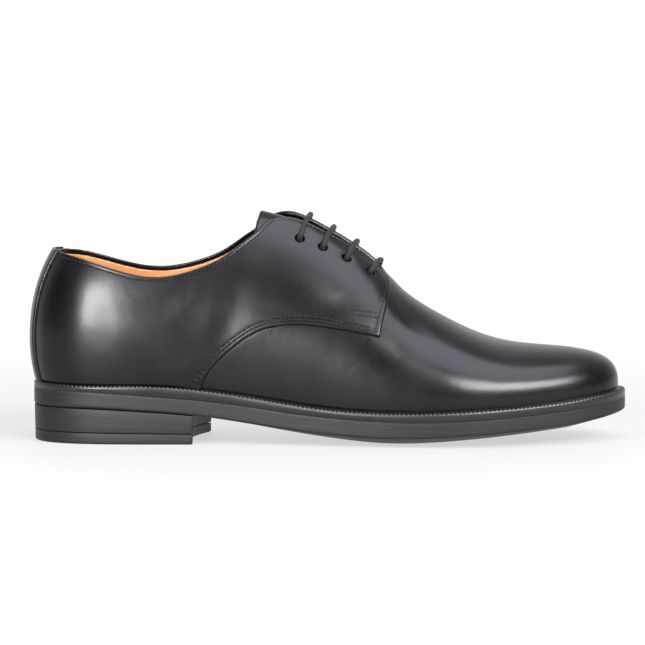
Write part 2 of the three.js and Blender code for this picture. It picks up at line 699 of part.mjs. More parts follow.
function laceBar(i) {
  const [near, far] = eyelets[i];
  const radius = LACE_DIAMETER / 2;
  const inside = QUARTER_INSIDE - SEAT_GAP - LACE_FLATTENED;
  const over = QUARTER_STEP + 1.5 * SEAT_GAP + radius;
  const at = (place, offset) => lastPoint(place.angle, place.hand, place.t, offset);
  const towards = (place, share, offset) => {
    const eye = at(place, 0);
    const x = THREE.MathUtils.lerp(eye.x, place.edge.x, share);
    return overPlan(x, THREE.MathUtils.lerp(eye.y, place.edge.y, share), offset);
  };
  const half = (place) => [
    at(place, inside),
    at(place, QUARTER_INSIDE / 2),
    at(place, over - 0.4 * radius),
    towards(place, 0.16, over + 0.55 * radius),
    towards(place, 0.35, over + 0.3 * radius),
    towards(place, 0.65, over),
    towards(place, 0.95, over),
  ];
  const route = new THREE.CatmullRomCurve3([...half(near), ...half(far).reverse()], false, 'centripetal');
  const points = route.getPoints(26);
  return tubeSolid(points, points.map(() => new THREE.Vector3(1, 0, 0.5)), LACE_DIAMETER, LACE_DIAMETER);
}

// The hidden run of the lace from one eyelet to the next, pressed flat between facing and tongue.
function laceRun(from, to) {
  const depth = QUARTER_INSIDE - LACE_ROOM / 2;
  const points = [];
  const flats = [];
  for (let k = 0; k <= 6; k += 1) {
    const angle = THREE.MathUtils.lerp(from.angle, to.angle, k / 6);
    const t = THREE.MathUtils.lerp(from.t, to.t, k / 6);
    const { point, normal } = lastSurface(angle, from.hand, t);
    points.push(point.addScaledVector(normal, depth));
    flats.push(normal);
  }
  return tubeSolid(points, flats, LACE_DIAMETER, LACE_FLATTENED);
}

function laceGeometry() {
  let lace = laceBar(0);
  for (let i = 1; i < EYELET_COUNT; i += 1) {
    const hand = i % 2;
    lace = lace.add(laceBar(i)).add(laceRun(eyelets[i - 1][hand], eyelets[i][hand]));
  }
  return toGeometry(lace);
}

// The outsole's bottom is crowned across, and ends in one flat spot where the ball stands on the floor.
function outsoleGeometry() {
  const shares = [0.24, 0.44, 0.62, 0.78, 0.9];
  const round = SOLE_EDGE_ROUND;
  const bottom = shares.map((s) => RING.map(({ angle, hand }) => {
    const u = shareOf(angle);
    const rim = planPoint(angle, hand, round);
    const middle = spinePoint(angle);
    const point = middle.clone().lerp(rim, s);
    const sink = SOLE_CROWN * side.crown(u) * (1 - s ** 3);
    return new THREE.Vector3(point.x, point.y, soleBottom(u) - sink);
  }));
  const rings = [
    ...bottom,
    planRing(round, soleBottom),
    planRing(round * 0.3, (u) => soleBottom(u) + round * 0.3),
    planRing(0, (u) => soleBottom(u) + round),
    planRing(0, (u) => rimHeight(u) - SOLE_RIM_ROUND),
    planRing(SOLE_RIM_ROUND, rimHeight),
  ];
  const below = boxSolid(
    new THREE.Vector3(-LENGTH, -LENGTH, FLOOR_BELOW),
    new THREE.Vector3(2 * LENGTH, LENGTH, 0),
  );
  return toGeometry(toSolid(ringSolid(rings)).subtract(below));
}

function weltGeometry() {
  const inner = (u) => featherInset(u) + VAMP_WALL;
  return ringLoop([
    planRing(inner, weltBottom),
    planRing(WELT_STEP, weltBottom),
    planRing(WELT_STEP, (u) => weltTop(u) - WELT_ROUND),
    planRing(WELT_STEP + WELT_ROUND * 0.3, (u) => weltTop(u) - WELT_ROUND * 0.3),
    planRing(WELT_STEP + WELT_ROUND, weltTop),
    planRing(inner, weltTop),
  ]);
}

function insoleGeometry() {
  const edge = (u) => featherInset(u) + VAMP_WALL + SEAT_GAP;
  return ringSolid([
    planRing(edge, weltBottom),
    planRing(edge, (u) => weltTop(u) + INSOLE_THICKNESS * 0.8),
    planRing((u) => edge(u) + INSOLE_THICKNESS * 0.2, (u) => weltTop(u) + INSOLE_THICKNESS),
  ]);
}

// Heel: both pieces end in the same hollow breast, which runs askew to reach further on the medial side.
function breastSolid() {
  const reach = BALL_WIDTH / 2;
  const half = HALF_BALL * plan[-1](angleOf({ u: BREAST_POSITION / LENGTH }));
  const lateral = new THREE.Vector2(BREAST_POSITION, -half);
  const medial = new THREE.Vector2(BREAST_POSITION + BREAST_SKEW, half);
  const chord = medial.clone().sub(lateral);
  const arc = [];
  for (let k = 0; k <= 12; k += 1) {
    const across = -0.3 + 1.6 * k / 12;
    const hollow = BREAST_DEPTH * (1 - (2 * across - 1) ** 2);
    arc.push(new THREE.Vector2(lateral.x + chord.x * across - hollow, lateral.y + chord.y * across));
  }
  const outline = [new THREE.Vector2(-reach, -reach), ...arc, new THREE.Vector2(-reach, reach)];
  return standingSolid(outline, FLOOR_BELOW, SKY);
}

const topLiftTop = (u) => TOP_LIFT_BACK + (TOP_LIFT_BREAST - TOP_LIFT_BACK) * u * LENGTH / BREAST_POSITION;
const heelTaper = (share) => HEEL_INSET + HEEL_TAPER * share;

function heelBlockGeometry() {
  const low = (u) => topLiftTop(Math.min(u, 0.5)) + SEAT_GAP;
  const high = (u) => soleBottom(u) - SEAT_GAP;
  const block = toSolid(ringSolid([
    planRing(heelTaper(0.8) + SEAT_GAP, low),
    planRing(heelTaper(0.8), (u) => low(u) + SEAT_GAP),
    planRing(heelTaper(0), (u) => high(u) - SEAT_GAP),
    planRing(heelTaper(0) + SEAT_GAP, high),
  ]));
  return toGeometry(block.intersect(breastSolid()));
}

function topLiftGeometry() {
  const round = HEEL_EDGE_ROUND;
  const lift = toSolid(ringSolid([
    planRing(heelTaper(1) + round, () => 0),
    planRing(heelTaper(1) + round * 0.3, () => round * 0.3),
    planRing(heelTaper(1), () => round),
    planRing(heelTaper(0.8), (u) => topLiftTop(Math.min(u, 0.5)) - SEAT_GAP),
    planRing(heelTaper(0.8) + SEAT_GAP, (u) => topLiftTop(Math.min(u, 0.5))),
  ]));
  return toGeometry(lift.intersect(breastSolid()));
}

const finishes = {
  calf: { color: 0x0d0d0f, roughness: 0.32, metalness: 0 },
  rubber: { color: 0x151517, roughness: 0.6, metalness: 0 },
  leatherEdge: { color: 0x121113, roughness: 0.5, metalness: 0 },
  lining: { color: 0xb9713f, roughness: 0.65, metalness: 0 },
  cotton: { color: 0x0c0c0d, roughness: 0.85, metalness: 0 },
};

const shoe = new THREE.Group();

function addPiece(name, geometry, finish) {
  geometry.computeVertexNormals();
  const piece = new THREE.Mesh(geometry, new THREE.MeshStandardMaterial(finishes[finish]));
  piece.name = name;
  shoe.add(piece);
}

addPiece('outsole', outsoleGeometry(), 'rubber');
addPiece('welt', weltGeometry(), 'leatherEdge');
addPiece('heel_block', heelBlockGeometry(), 'rubber');
addPiece('top_lift', topLiftGeometry(), 'rubber');
addPiece('insole', insoleGeometry(), 'lining');
addPiece('upper', upperGeometry(), 'calf');
addPiece('back_strip', backStripGeometry(), 'calf');
addPiece('tongue', tongueGeometry(), 'calf');
addPiece('lace', laceGeometry(), 'cotton');

// The origin lies on the floor under the middle of the whole shoe.
const extent = new THREE.Box3().setFromObject(shoe);
shoe.position.set(-(extent.min.x + extent.max.x) / 2, -(extent.min.y + extent.max.y) / 2, 0);

export default shoe;
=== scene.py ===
"""A right derby shoe in black calf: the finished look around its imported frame."""
import math

import bpy
import numpy as np
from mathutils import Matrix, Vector
from mathutils.kdtree import KDTree


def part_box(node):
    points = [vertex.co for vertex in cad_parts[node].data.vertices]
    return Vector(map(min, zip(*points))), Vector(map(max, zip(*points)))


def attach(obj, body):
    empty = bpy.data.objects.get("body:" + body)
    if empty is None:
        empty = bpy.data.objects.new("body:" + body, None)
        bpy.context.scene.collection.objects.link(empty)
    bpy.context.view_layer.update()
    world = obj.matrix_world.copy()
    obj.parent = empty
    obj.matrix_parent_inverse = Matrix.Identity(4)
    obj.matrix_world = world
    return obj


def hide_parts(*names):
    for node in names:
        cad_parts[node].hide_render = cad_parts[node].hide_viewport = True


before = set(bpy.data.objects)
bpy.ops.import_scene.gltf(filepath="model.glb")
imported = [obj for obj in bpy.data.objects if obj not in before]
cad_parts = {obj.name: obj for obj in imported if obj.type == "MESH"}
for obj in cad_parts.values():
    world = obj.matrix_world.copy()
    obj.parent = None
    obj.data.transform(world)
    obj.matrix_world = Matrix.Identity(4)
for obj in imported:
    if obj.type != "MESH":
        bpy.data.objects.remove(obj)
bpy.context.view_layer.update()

# Sizes in millimetres, from the heel's back towards the toe, as the shoe is built.
LENGTH = 304.0
HALF_BALL = 52.0
HEEL_SEAT_HEIGHT = 27.1
BALL_RIM_HEIGHT = 12.6
TOE_RIM_HEIGHT = 22.2
SOLE_EDGE = 8.8
SOLE_CROWN = 5.2
WELT_HEIGHT = 5.0
WELT_MARGIN = 5.0
TOP_LIFT_BACK = 5.9
TOP_LIFT_BREAST = 5.1
BREAST_POSITION = 83.0
BREAST_SKEW = 9.5
BREAST_DEPTH = 5.7
HEEL_TAPER = 0.3
HEEL_INSET = 0.2
INSTEP_RISE = 100.0
VAMP_WALL = 1.8
QUARTER_STEP = 1.3
QUARTER_WALL = 2.4
VAMP_UNDERLAP = 4.0
INSOLE_THICKNESS = 3.4
TONGUE_THICKNESS = 2.6
TONGUE_WIDTH = 42.0
STRIP_WIDTH = 22.0
STRIP_THICKNESS = 1.0
EYELET_DIAMETER = 4.0
EYELET_SETBACK = 10.3
EYELET_END_MARGIN = 9.0
EYELET_PITCH = 11.8
LACE_DIAMETER = 2.9
LACE_SKEW = 3.0
SEAT_GAP = 0.3
EYELET_COUNT = 4
SOLE_ROUND = 1.4
RIM_ROUND = 0.03
WELT_ROUND = 1.3
WHEEL_PITCH = 2.2
WHEEL_DEPTH = 0.5
LIFT_ROUND = 1.1
HEEL_GROOVE = 0.35
HEEL_SHOULDER = 0.08
LINING_DROP = 2.4
LINING_SETBACK = 14.0
BRAID_SIDES = 32
BRAID_PITCH = 2.6
SEAM_ROWS = (2.3, 4.0)
SEAM_PITCH = 2.6
FRONT_ROW = 2.8
EDGE_ROW = 2.1
EDGE_PITCH = 2.2
THREAD_RADIUS = 0.33
THREAD_RISE = 0.34
MM = 0.001

# Plan of the rim: share of the length, then lateral and medial half widths as shares of half the ball.
PLAN = np.array([
    (0, 0, 0), (0.016, 0.318, 0.315), (0.066, 0.545, 0.535), (0.132, 0.622, 0.604), (0.197, 0.64, 0.606),
    (0.263, 0.64, 0.58), (0.329, 0.65, 0.552), (0.395, 0.69, 0.545), (0.461, 0.757, 0.59),
    (0.526, 0.835, 0.695), (0.592, 0.912, 0.828), (0.658, 0.963, 0.94), (0.707, 0.975, 0.988),
    (0.757, 0.945, 0.986), (0.806, 0.875, 0.938), (0.855, 0.77, 0.845), (0.905, 0.64, 0.715),
    (0.947, 0.49, 0.57), (0.984, 0.262, 0.35), (1, -0.058, 0.058)])

# Side of the sole: share of the length, heel rise, toe rise, edge, crown, welt height, welt margin.
SIDE = np.array([
    (0, 1, 0, 0.98, 0, 0.62, 0.66), (0.115, 0.935, 0, 0.925, 0, 0.68, 0.78),
    (0.19, 0.83, 0, 0.89, 0, 0.98, 0.84), (0.265, 0.705, 0, 0.885, 0, 1.06, 0.84),
    (0.365, 0.46, 0, 0.96, 0.22, 0.96, 0.82), (0.44, 0.245, 0, 0.985, 0.44, 0.88, 0.86),
    (0.515, 0.095, 0, 0.99, 0.7, 0.8, 0.92), (0.59, 0.022, 0, 0.99, 0.94, 0.82, 0.98),
    (0.65, 0, 0.01, 0.93, 1, 0.88, 1), (0.72, 0, 0.085, 0.885, 0.94, 0.92, 1),
    (0.79, 0, 0.215, 0.865, 0.8, 0.92, 0.98), (0.87, 0, 0.42, 0.85, 0.64, 0.9, 0.92),
    (0.945, 0, 0.69, 0.82, 0.5, 0.9, 0.82), (1, 0, 1, 0.79, 0.4, 0.76, 0.74)])

# Ridge of the upper: share of the length, height above the rim, place across.
RIDGE = np.array([
    (0.2, 1.01, -0.02), (0.3, 1.04, -0.02), (0.365, 1.034, -0.02), (0.411, 1.018, -0.02),
    (0.45, 0.997, -0.018), (0.493, 0.942, -0.014), (0.535, 0.872, -0.01), (0.57, 0.797, -0.005),
    (0.596, 0.722, 0), (0.62, 0.652, 0.005), (0.655, 0.571, 0.012), (0.695, 0.496, 0.02),
    (0.735, 0.43, 0.027), (0.78, 0.372, 0.033), (0.825, 0.337, 0.038), (0.88, 0.309, 0.042)])

# Sections of the last: share of the length, place on the ridge, rise, swell and fullness of each side.
LAST = np.array([
    (0, 0.2, 0.353, 0.1, 0.1, 0.925, 0.925), (0.03, 0.21, 0.338, 0.086, 0.086, 0.918, 0.918),
    (0.075, 0.23, 0.312, 0.072, 0.077, 0.905, 0.905), (0.2, 0.285, 0.28, 0.065, 0.075, 0.87, 0.88),
    (0.33, 0.356, 0.34, 0.08, 0.115, 0.78, 0.83), (0.41, 0.42, 0.37, 0.09, 0.15, 0.68, 0.78),
    (0.495, 0.494, 0.39, 0.075, 0.135, 0.6, 0.7), (0.575, 0.571, 0.345, 0.06, 0.09, 0.545, 0.59),
    (0.658, 0.645, 0.275, 0.05, 0.052, 0.52, 0.52), (0.757, 0.722, 0.208, 0.042, 0.042, 0.56, 0.56),
    (0.825, 0.77, 0.18, 0.036, 0.036, 0.61, 0.61), (0.92, 0.826, 0.165, 0.025, 0.025, 0.69, 0.69),
    (1, 0.862, 0.158, 0.015, 0.015, 0.735, 0.735)])

# Topline: share of the length, lateral and medial height above the rim.
TOPLINE = np.array([
    (-0.03, 0.712, 0.712), (0.024, 0.71, 0.71), (0.042, 0.699, 0.707), (0.082, 0.674, 0.692),
    (0.115, 0.648, 0.669), (0.149, 0.624, 0.645), (0.182, 0.608, 0.63), (0.214, 0.609, 0.631),
    (0.241, 0.625, 0.646), (0.276, 0.664, 0.681), (0.311, 0.718, 0.734), (0.334, 0.77, 0.785),
    (0.355, 0.826, 0.84), (0.376, 0.882, 0.893), (0.392, 0.938, 0.946), (0.409, 0.976, 0.985),
    (0.425, 1.01, 1.02)])
FACING_TOP = 0.425
FACING_END = 0.601
FACING_GAP_TOP = 14.0
FACING_GAP_THROAT = 11.0
FACING_SHIFT = 2.0

# Front and lower edge of the quarter: share of the length, height above the rim.
QUARTER_FRONT = np.array([
    (0.57, 0.84), (0.58, 0.765), (0.5915, 0.722), (0.5985, 0.687), (0.601, 0.655), (0.598, 0.612),
    (0.5925, 0.55), (0.5862, 0.474), (0.5825, 0.42)])
QUARTER_LOWER = np.array([
    (0.5825, 0.42), (0.551, 0.434), (0.518, 0.447), (0.46, 0.455), (0.426, 0.44), (0.39, 0.404),
    (0.362, 0.349), (0.338, 0.286), (0.315, 0.215), (0.2965, 0.142), (0.284, 0.06), (0.276, -0.06)])

# Tongue from above: share of the length, half width as a share of half the tongue's width.
TONGUE = np.array([
    (0.386, 0), (0.383, 0.4), (0.376, 0.76), (0.38, 0.96), (0.398, 1.04), (0.46, 1.02), (0.55, 0.9),
    (0.62, 0.78), (0.65, 0.6), (0.662, 0)])


def spline(places, values):
    """Natural cubic spline through a table's column, as a function of arrays."""
    x = np.asarray(places, float)
    y = np.asarray(values, float)
    n = len(x)
    h = np.diff(x)
    system = np.eye(n)
    right = np.zeros(n)
    for i in range(1, n - 1):
        system[i, i - 1:i + 2] = (h[i - 1], 2 * (h[i - 1] + h[i]), h[i])
        right[i] = 6 * ((y[i + 1] - y[i]) / h[i] - (y[i] - y[i - 1]) / h[i - 1])
    bend = np.linalg.solve(system, right)

    def curve(at):
        at = np.asarray(at, float)
        i = np.clip(np.searchsorted(x, at) - 1, 0, n - 2)
        inside = np.clip(at, x[0], x[-1])
        b = (inside - x[i]) / h[i]
        a = 1 - b
        value = a * y[i] + b * y[i + 1]
        value = value + ((a ** 3 - a) * bend[i] + (b ** 3 - b) * bend[i + 1]) * h[i] ** 2 / 6
        slope = (y[i + 1] - y[i]) / h[i]
        slope = slope + h[i] * ((1 - 3 * a * a) * bend[i] + (3 * b * b - 1) * bend[i + 1]) / 6
        return value + slope * (at - inside)
    return curve


def angle_of(u):
    return np.arccos(1 - 2 * np.asarray(u, float))


def share_of(angle):
    return (1 - np.cos(angle)) / 2


plan_side = {-1: spline(angle_of(PLAN[:, 0]), PLAN[:, 1]), 1: spline(angle_of(PLAN[:, 0]), PLAN[:, 2])}
side_heel, side_toe, side_edge, side_crown, side_welt, side_margin = (
    spline(SIDE[:, 0], SIDE[:, k]) for k in range(1, 7))
last_ridge, last_rise, swell_lat, swell_med, full_lat, full_med = (
    spline(LAST[:, 0], LAST[:, k]) for k in range(1, 7))
ridge_rise = spline(RIDGE[:, 0], RIDGE[:, 1])
ridge_middle = spline(RIDGE[:, 0], RIDGE[:, 2])


def rim_height(u):
    heel = side_heel(u) * (HEEL_SEAT_HEIGHT - BALL_RIM_HEIGHT)
    return BALL_RIM_HEIGHT + heel + side_toe(u) * (TOE_RIM_HEIGHT - BALL_RIM_HEIGHT)


def sole_bottom(u):
    return rim_height(u) - SOLE_EDGE * side_edge(u)


def welt_bottom(u):
    return rim_height(u) + SEAT_GAP


def welt_top(u):
    return welt_bottom(u) + WELT_HEIGHT * side_welt(u)


def feather_height(u):
    return welt_top(u) + SEAT_GAP


def feather_inset(u):
    return WELT_MARGIN * side_margin(u)


def ridge_height(u):
    return rim_height(u) + INSTEP_RISE * ridge_rise(u)


def plan_point(angle, hand, inset):
    """Points of the plan, a distance inside the rim; hand is -1 (lateral) or 1 (medial), as an array."""
    angle = np.asarray(angle, float)
    hand = np.broadcast_to(np.asarray(hand), angle.shape)
    step = 1e-4

    def at(a):
        half = np.where(hand < 0, plan_side[-1](a), plan_side[1](a))
        return LENGTH * share_of(a), hand * HALF_BALL * half
    x, y = at(angle)
    ahead, behind = at(angle + step), at(angle - step)
    along_x, along_y = ahead[0] - behind[0], ahead[1] - behind[1]
    size = np.hypot(along_x, along_y)
    return x + hand * along_y / size * inset, y - hand * along_x / size * inset


def section(angle, hand):
    """The four points of each section's cubic, and the ridge's slope."""
    u = share_of(angle)
    foot_x, foot_y = plan_point(angle, hand, feather_inset(u))
    out_x, out_y = plan_point(angle, hand, feather_inset(u) - 1)
    swell = INSTEP_RISE * np.where(hand < 0, swell_lat(u), swell_med(u))
    full = np.where(hand < 0, full_lat(u), full_med(u))
    top = last_ridge(u)
    step = 1e-4
    slope = (ridge_height(top + step) - ridge_height(top - step)) / (2 * step * LENGTH)
    foot_z = feather_height(u)
    a = np.stack([foot_x, foot_y, foot_z], -1)
    b = np.stack([foot_x + (out_x - foot_x) * swell, foot_y + (out_y - foot_y) * swell,
                  foot_z + INSTEP_RISE * last_rise(u)], -1)
    d = np.stack([LENGTH * top, HALF_BALL * ridge_middle(top), ridge_height(top)], -1)
    c_xy = d[..., :2] + full[..., None] * (a[..., :2] - d[..., :2])
    c_z = d[..., 2] + slope * (c_xy[..., 0] - d[..., 0])
    return a, b, np.concatenate([c_xy, c_z[..., None]], -1), d, slope


def cubic(points, t):
    a, b, c, d = points[:4]
    t = t[..., None]
    s = 1 - t
    return s ** 3 * a + 3 * s * s * t * b + 3 * s * t * t * c + t ** 3 * d


def last_surface(angle, hand, t):
    """Points of the last and the outward directions there, for arrays of places."""
    angle, hand, t = np.broadcast_arrays(*(np.asarray(v, float) for v in (angle, hand, t)))
    step = 1e-4
    whole = section(angle, hand)
    point = cubic(whole, t)
    low = np.minimum(t, 1 - 2 * step)
    up = cubic(whole, low + step) - cubic(whole, np.maximum(low - step, 0))
    along = cubic(section(angle + step, hand), low) - cubic(section(angle - step, hand), low)
    normal = np.cross(along, up) * -hand[..., None]
    crest = np.stack([-whole[4], np.zeros_like(t), np.ones_like(t)], -1)
    normal = np.where((t > 1 - 2 * step)[..., None], crest, normal)
    return point, normal / np.linalg.norm(normal, axis=-1, keepdims=True)


# The frame's origin is under the middle of the shoe; tables count from the heel's back.
def frame_shift():
    low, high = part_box("outsole")
    angles = np.linspace(0, math.pi, 35)
    lateral = plan_point(angles, -1, 0.0)[1].min()
    medial = plan_point(angles, 1, 0.0)[1].max()
    return np.array([-low[0] / MM, (lateral + medial) / 2 - (low[1] + high[1]) / 2 / MM, 0.0])


SHIFT = frame_shift()


def placed(points):
    return (np.asarray(points, float) - SHIFT) * MM


def side_point(u, rise):
    u = np.asarray(u, float)
    return np.stack([LENGTH * u, rim_height(u) + INSTEP_RISE * np.asarray(rise, float)], -1)


def smooth_line(points, count):
    """Centripetal Catmull-Rom curve through side view points, resampled evenly."""
    p = np.vstack([2 * points[0] - points[1], points, 2 * points[-1] - points[-2]])
    out = []
    for k in range(1, len(p) - 2):
        t0 = 0.0
        t1 = t0 + np.linalg.norm(p[k] - p[k - 1]) ** 0.5
        t2 = t1 + np.linalg.norm(p[k + 1] - p[k]) ** 0.5
        t3 = t2 + np.linalg.norm(p[k + 2] - p[k + 1]) ** 0.5
        t = np.linspace(t1, t2, 24, endpoint=False)[:, None]
        a1 = (t1 - t) / (t1 - t0) * p[k - 1] + (t - t0) / (t1 - t0) * p[k]
        a2 = (t2 - t) / (t2 - t1) * p[k] + (t - t1) / (t2 - t1) * p[k + 1]
        a3 = (t3 - t) / (t3 - t2) * p[k + 1] + (t - t2) / (t3 - t2) * p[k + 2]
        b1 = (t2 - t) / (t2 - t0) * a1 + (t - t0) / (t2 - t0) * a2
        b2 = (t3 - t) / (t3 - t1) * a2 + (t - t1) / (t3 - t1) * a3
        out.append((t2 - t) / (t2 - t1) * b1 + (t - t1) / (t2 - t1) * b2)
    line = np.vstack(out + [points[-1:]])
    return resample(line, count)


def lengths_along(line):
    return np.concatenate([[0], np.cumsum(np.linalg.norm(np.diff(line, axis=0), axis=1))])


def resample(line, count):
    length = lengths_along(line)
    at = np.linspace(0, length[-1], count)
    return np.stack([np.interp(at, length, line[:, k]) for k in range(line.shape[1])], -1)


def line_distance(points, line):
    """Signed distance in the plane to a polyline, positive on its left."""
    best = np.full(len(points), 1e9)
    sign = np.ones(len(points))
    for a, b in zip(line[:-1], line[1:]):
        d = b - a
        rel = points - a
        share = np.clip((rel @ d) / (d @ d), 0, 1)
        gap = rel - share[:, None] * d
        dist = np.hypot(gap[:, 0], gap[:, 1])
        cross = d[0] * rel[:, 1] - d[1] * rel[:, 0]
        nearer = dist < best - 1e-9
        best = np.where(nearer, dist, best)
        sign = np.where(nearer, np.where(cross >= 0, 1.0, -1.0), sign)
    return best * sign


def facing_edge(x, hand):
    along = (x / LENGTH - FACING_TOP) / (FACING_END - FACING_TOP)
    gap = FACING_GAP_TOP + (FACING_GAP_THROAT - FACING_GAP_TOP) * along
    return HALF_BALL * ridge_middle(x / LENGTH) - FACING_SHIFT + hand * gap / 2


LOWER_LINE = smooth_line(side_point(*QUARTER_LOWER.T), 160)
FRONT_LINE = smooth_line(side_point(*QUARTER_FRONT.T), 120)
TOP_LINES = [smooth_line(side_point(TOPLINE[:, 0], TOPLINE[:, k]), 200) for k in (1, 2)]
TOPLINE_REACH = 26.0
FACING_CORNER = 6.0


class Patch:
    """A piece of the last's surface as triangles with a place (angle, hand, t) for every corner."""

    def __init__(self, angles, rows):
        n, m = len(angles), len(rows)
        grid = np.arange(n * m).reshape(n, m)
        a, b, c, d = (g.ravel() for g in (grid[:-1, :-1], grid[1:, :-1], grid[1:, 1:], grid[:-1, 1:]))
        lateral = np.stack([a, b, c, a, c, d], -1).reshape(-1, 3)
        medial = np.stack([d, c, b, d, b, a], -1).reshape(-1, 3) + n * m
        self.faces = np.vstack([lateral, medial])
        self.angle = np.tile(np.repeat(angles, m), 2)
        self.hand = np.repeat([-1.0, 1.0], n * m)
        self.t = np.tile(rows, 2 * n)

    def points(self):
        return cubic(section(self.angle, self.hand), self.t)

    def refine(self, near, size):
        """Split triangles where near(points) is true until their edges are shorter than size."""
        for _ in range(4):
            p = self.points()
            marked = near(p)
            f = self.faces
            edges = np.sort(np.vstack([f[:, [0, 1]], f[:, [1, 2]], f[:, [2, 0]]]), axis=1)
            unique, inverse = np.unique(edges, axis=0, return_inverse=True)
            long = np.linalg.norm(p[unique[:, 0]] - p[unique[:, 1]], axis=1) > size
            split = long & (marked[unique[:, 0]] | marked[unique[:, 1]])
            if not split.any():
                return
            new = np.full(len(unique), -1)
            new[split] = len(self.angle) + np.arange(split.sum())
            ends = unique[split]
            self.angle = np.append(self.angle, (self.angle[ends[:, 0]] + self.angle[ends[:, 1]]) / 2)
            self.t = np.append(self.t, (self.t[ends[:, 0]] + self.t[ends[:, 1]]) / 2)
            self.hand = np.append(self.hand, self.hand[ends[:, 0]])
            inverse = inverse.reshape(3, -1)
            faces = []
            for k, (a, b, c) in enumerate(f):
                ab, bc, ca = (new[inverse[e, k]] for e in range(3))
                corners = [a] + ([ab] if ab >= 0 else []) + [b] + ([bc] if bc >= 0 else [])
                corners += [c] + ([ca] if ca >= 0 else [])
                if len(corners) == 3:
                    faces.append((a, b, c))
                elif len(corners) == 6:
                    faces += [(a, ab, ca), (ab, b, bc), (ca, bc, c), (ab, bc, ca)]
                else:
                    while corners[0] not in (ab, bc, ca) or corners[0] < 0:
                        corners = corners[1:] + corners[:1]
                    faces += [(corners[0], corners[m], corners[m + 1]) for m in range(1, len(corners) - 1)]
            self.faces = np.array(faces)

    def clip(self, value):
        """Keep where value is positive, cutting triangles along its zero line."""
        value = value.copy()
        value[np.abs(value) < 1e-6] = 1e-6
        cache = {}
        angle, hand, t = list(self.angle), list(self.hand), list(self.t)
        kept = []

        def cross(a, b):
            key = (min(a, b), max(a, b))
            if key not in cache:
                s = value[a] / (value[a] - value[b])
                cache[key] = len(angle)
                angle.append(self.angle[a] + s * (self.angle[b] - self.angle[a]))
                t.append(self.t[a] + s * (self.t[b] - self.t[a]))
                hand.append(self.hand[a])
            return cache[key]
        inside = value > 0
        counts = inside[self.faces].sum(axis=1)
        for face, count in zip(self.faces, counts):
            if count == 3:
                kept.append(tuple(face))
            elif count:
                ring = []
                for k in range(3):
                    a, b = face[k], face[(k + 1) % 3]
                    if inside[a]:
                        ring.append(a)
                    if inside[a] != inside[b]:
                        ring.append(cross(a, b))
                kept += [(ring[0], ring[m], ring[m + 1]) for m in range(1, len(ring) - 1)]
        self.angle, self.hand, self.t = np.array(angle), np.array(hand), np.array(t)
        self.faces = np.array(kept)
        used = np.unique(self.faces)
        renumber = np.full(len(self.angle), -1)
        renumber[used] = np.arange(len(used))
        self.faces = renumber[self.faces]
        self.angle, self.hand, self.t = self.angle[used], self.hand[used], self.t[used]

    def surface(self):
        """The patch with coinciding corners merged: places, faces, points and outward directions."""
        angle, hand, t, faces = merged(self)
        base, normal = last_surface(angle, hand, t)
        return angle, hand, faces, base, normal


def make_mesh(name, points, faces):
    mesh = bpy.data.meshes.new(name)
    mesh.from_pydata([tuple(p) for p in placed(points)], [], [tuple(int(i) for i in f) for f in faces])
    mesh.update()
    mesh.shade_smooth()
    piece = bpy.data.objects.new(name, mesh)
    bpy.context.scene.collection.objects.link(piece)
    return piece


def merged(patch, size=1e-3):
    """A patch's places and faces, with points that coincide merged and faces that vanish dropped."""
    keys = np.round(patch.points() / size).astype(np.int64)
    _, first, inverse = np.unique(keys, axis=0, return_index=True, return_inverse=True)
    faces = inverse.ravel()[patch.faces]
    good = (faces[:, 0] != faces[:, 1]) & (faces[:, 1] != faces[:, 2]) & (faces[:, 2] != faces[:, 0])
    return patch.angle[first], patch.hand[first], patch.t[first], faces[good]


def border_edges(faces):
    """Directed edges that only one triangle has."""
    directed = {}
    for f in faces:
        for a, b in ((f[0], f[1]), (f[1], f[2]), (f[2], f[0])):
            directed[(int(a), int(b))] = True
    return [(a, b) for (a, b) in directed if (b, a) not in directed]


def sheet(name, base, normal, outer, inner, faces):
    """Closed wall between two distances along the normals of the same triangles."""
    points_out = base + normal * outer[:, None]
    points_in = base + normal * inner[:, None]
    n = len(points_out)
    rims = []
    for a, b in border_edges(faces):
        rims.append((a, a + n, b))
        rims.append((b, a + n, b + n))
    back = faces[:, ::-1] + n
    return make_mesh(name, np.vstack([points_out, points_in]), np.vstack([faces, back, np.array(rims)]))


def find_place(first, second, hand, axes):
    """Where the last's surface has the given two coordinates, on one side of the shoe."""
    first, second = np.asarray(first, float), np.asarray(second, float)
    grid_a, grid_t = np.meshgrid(np.linspace(0.01, math.pi - 0.01, 260), np.linspace(0.0, 1, 110))
    points = cubic(section(grid_a.ravel(), np.full(grid_a.size, float(hand))), grid_t.ravel())
    nearest = [np.argmin(np.hypot(points[:, axes[0]] - a, points[:, axes[1]] - b))
               for a, b in zip(first, second)]
    angle, t = grid_a.ravel()[nearest], grid_t.ravel()[nearest]
    step = 1e-4
    side = np.full(len(angle), float(hand))
    for _ in range(5):
        p = cubic(section(angle, side), t)
        pa = (cubic(section(angle + step, side), t) - p) / step
        pt = (p - cubic(section(angle, side), t - step)) / step
        i, j = axes
        det = pa[:, i] * pt[:, j] - pa[:, j] * pt[:, i]
        da, db = first - p[:, i], second - p[:, j]
        angle = angle + np.clip((da * pt[:, j] - db * pt[:, i]) / det, -0.05, 0.05)
        t = np.clip(t + np.clip((db * pa[:, i] - da * pa[:, j]) / det, -0.05, 0.05), 0.0, 1.0)
    return angle, side, t


def on_last(place, offset):
    point, normal = last_surface(*place)
    return point + normal * np.asarray(offset)[..., None], normal


# Distances to the quarter's edges, for points of the last's surface.
SEAM_LINE = np.vstack([FRONT_LINE, LOWER_LINE[1:]])


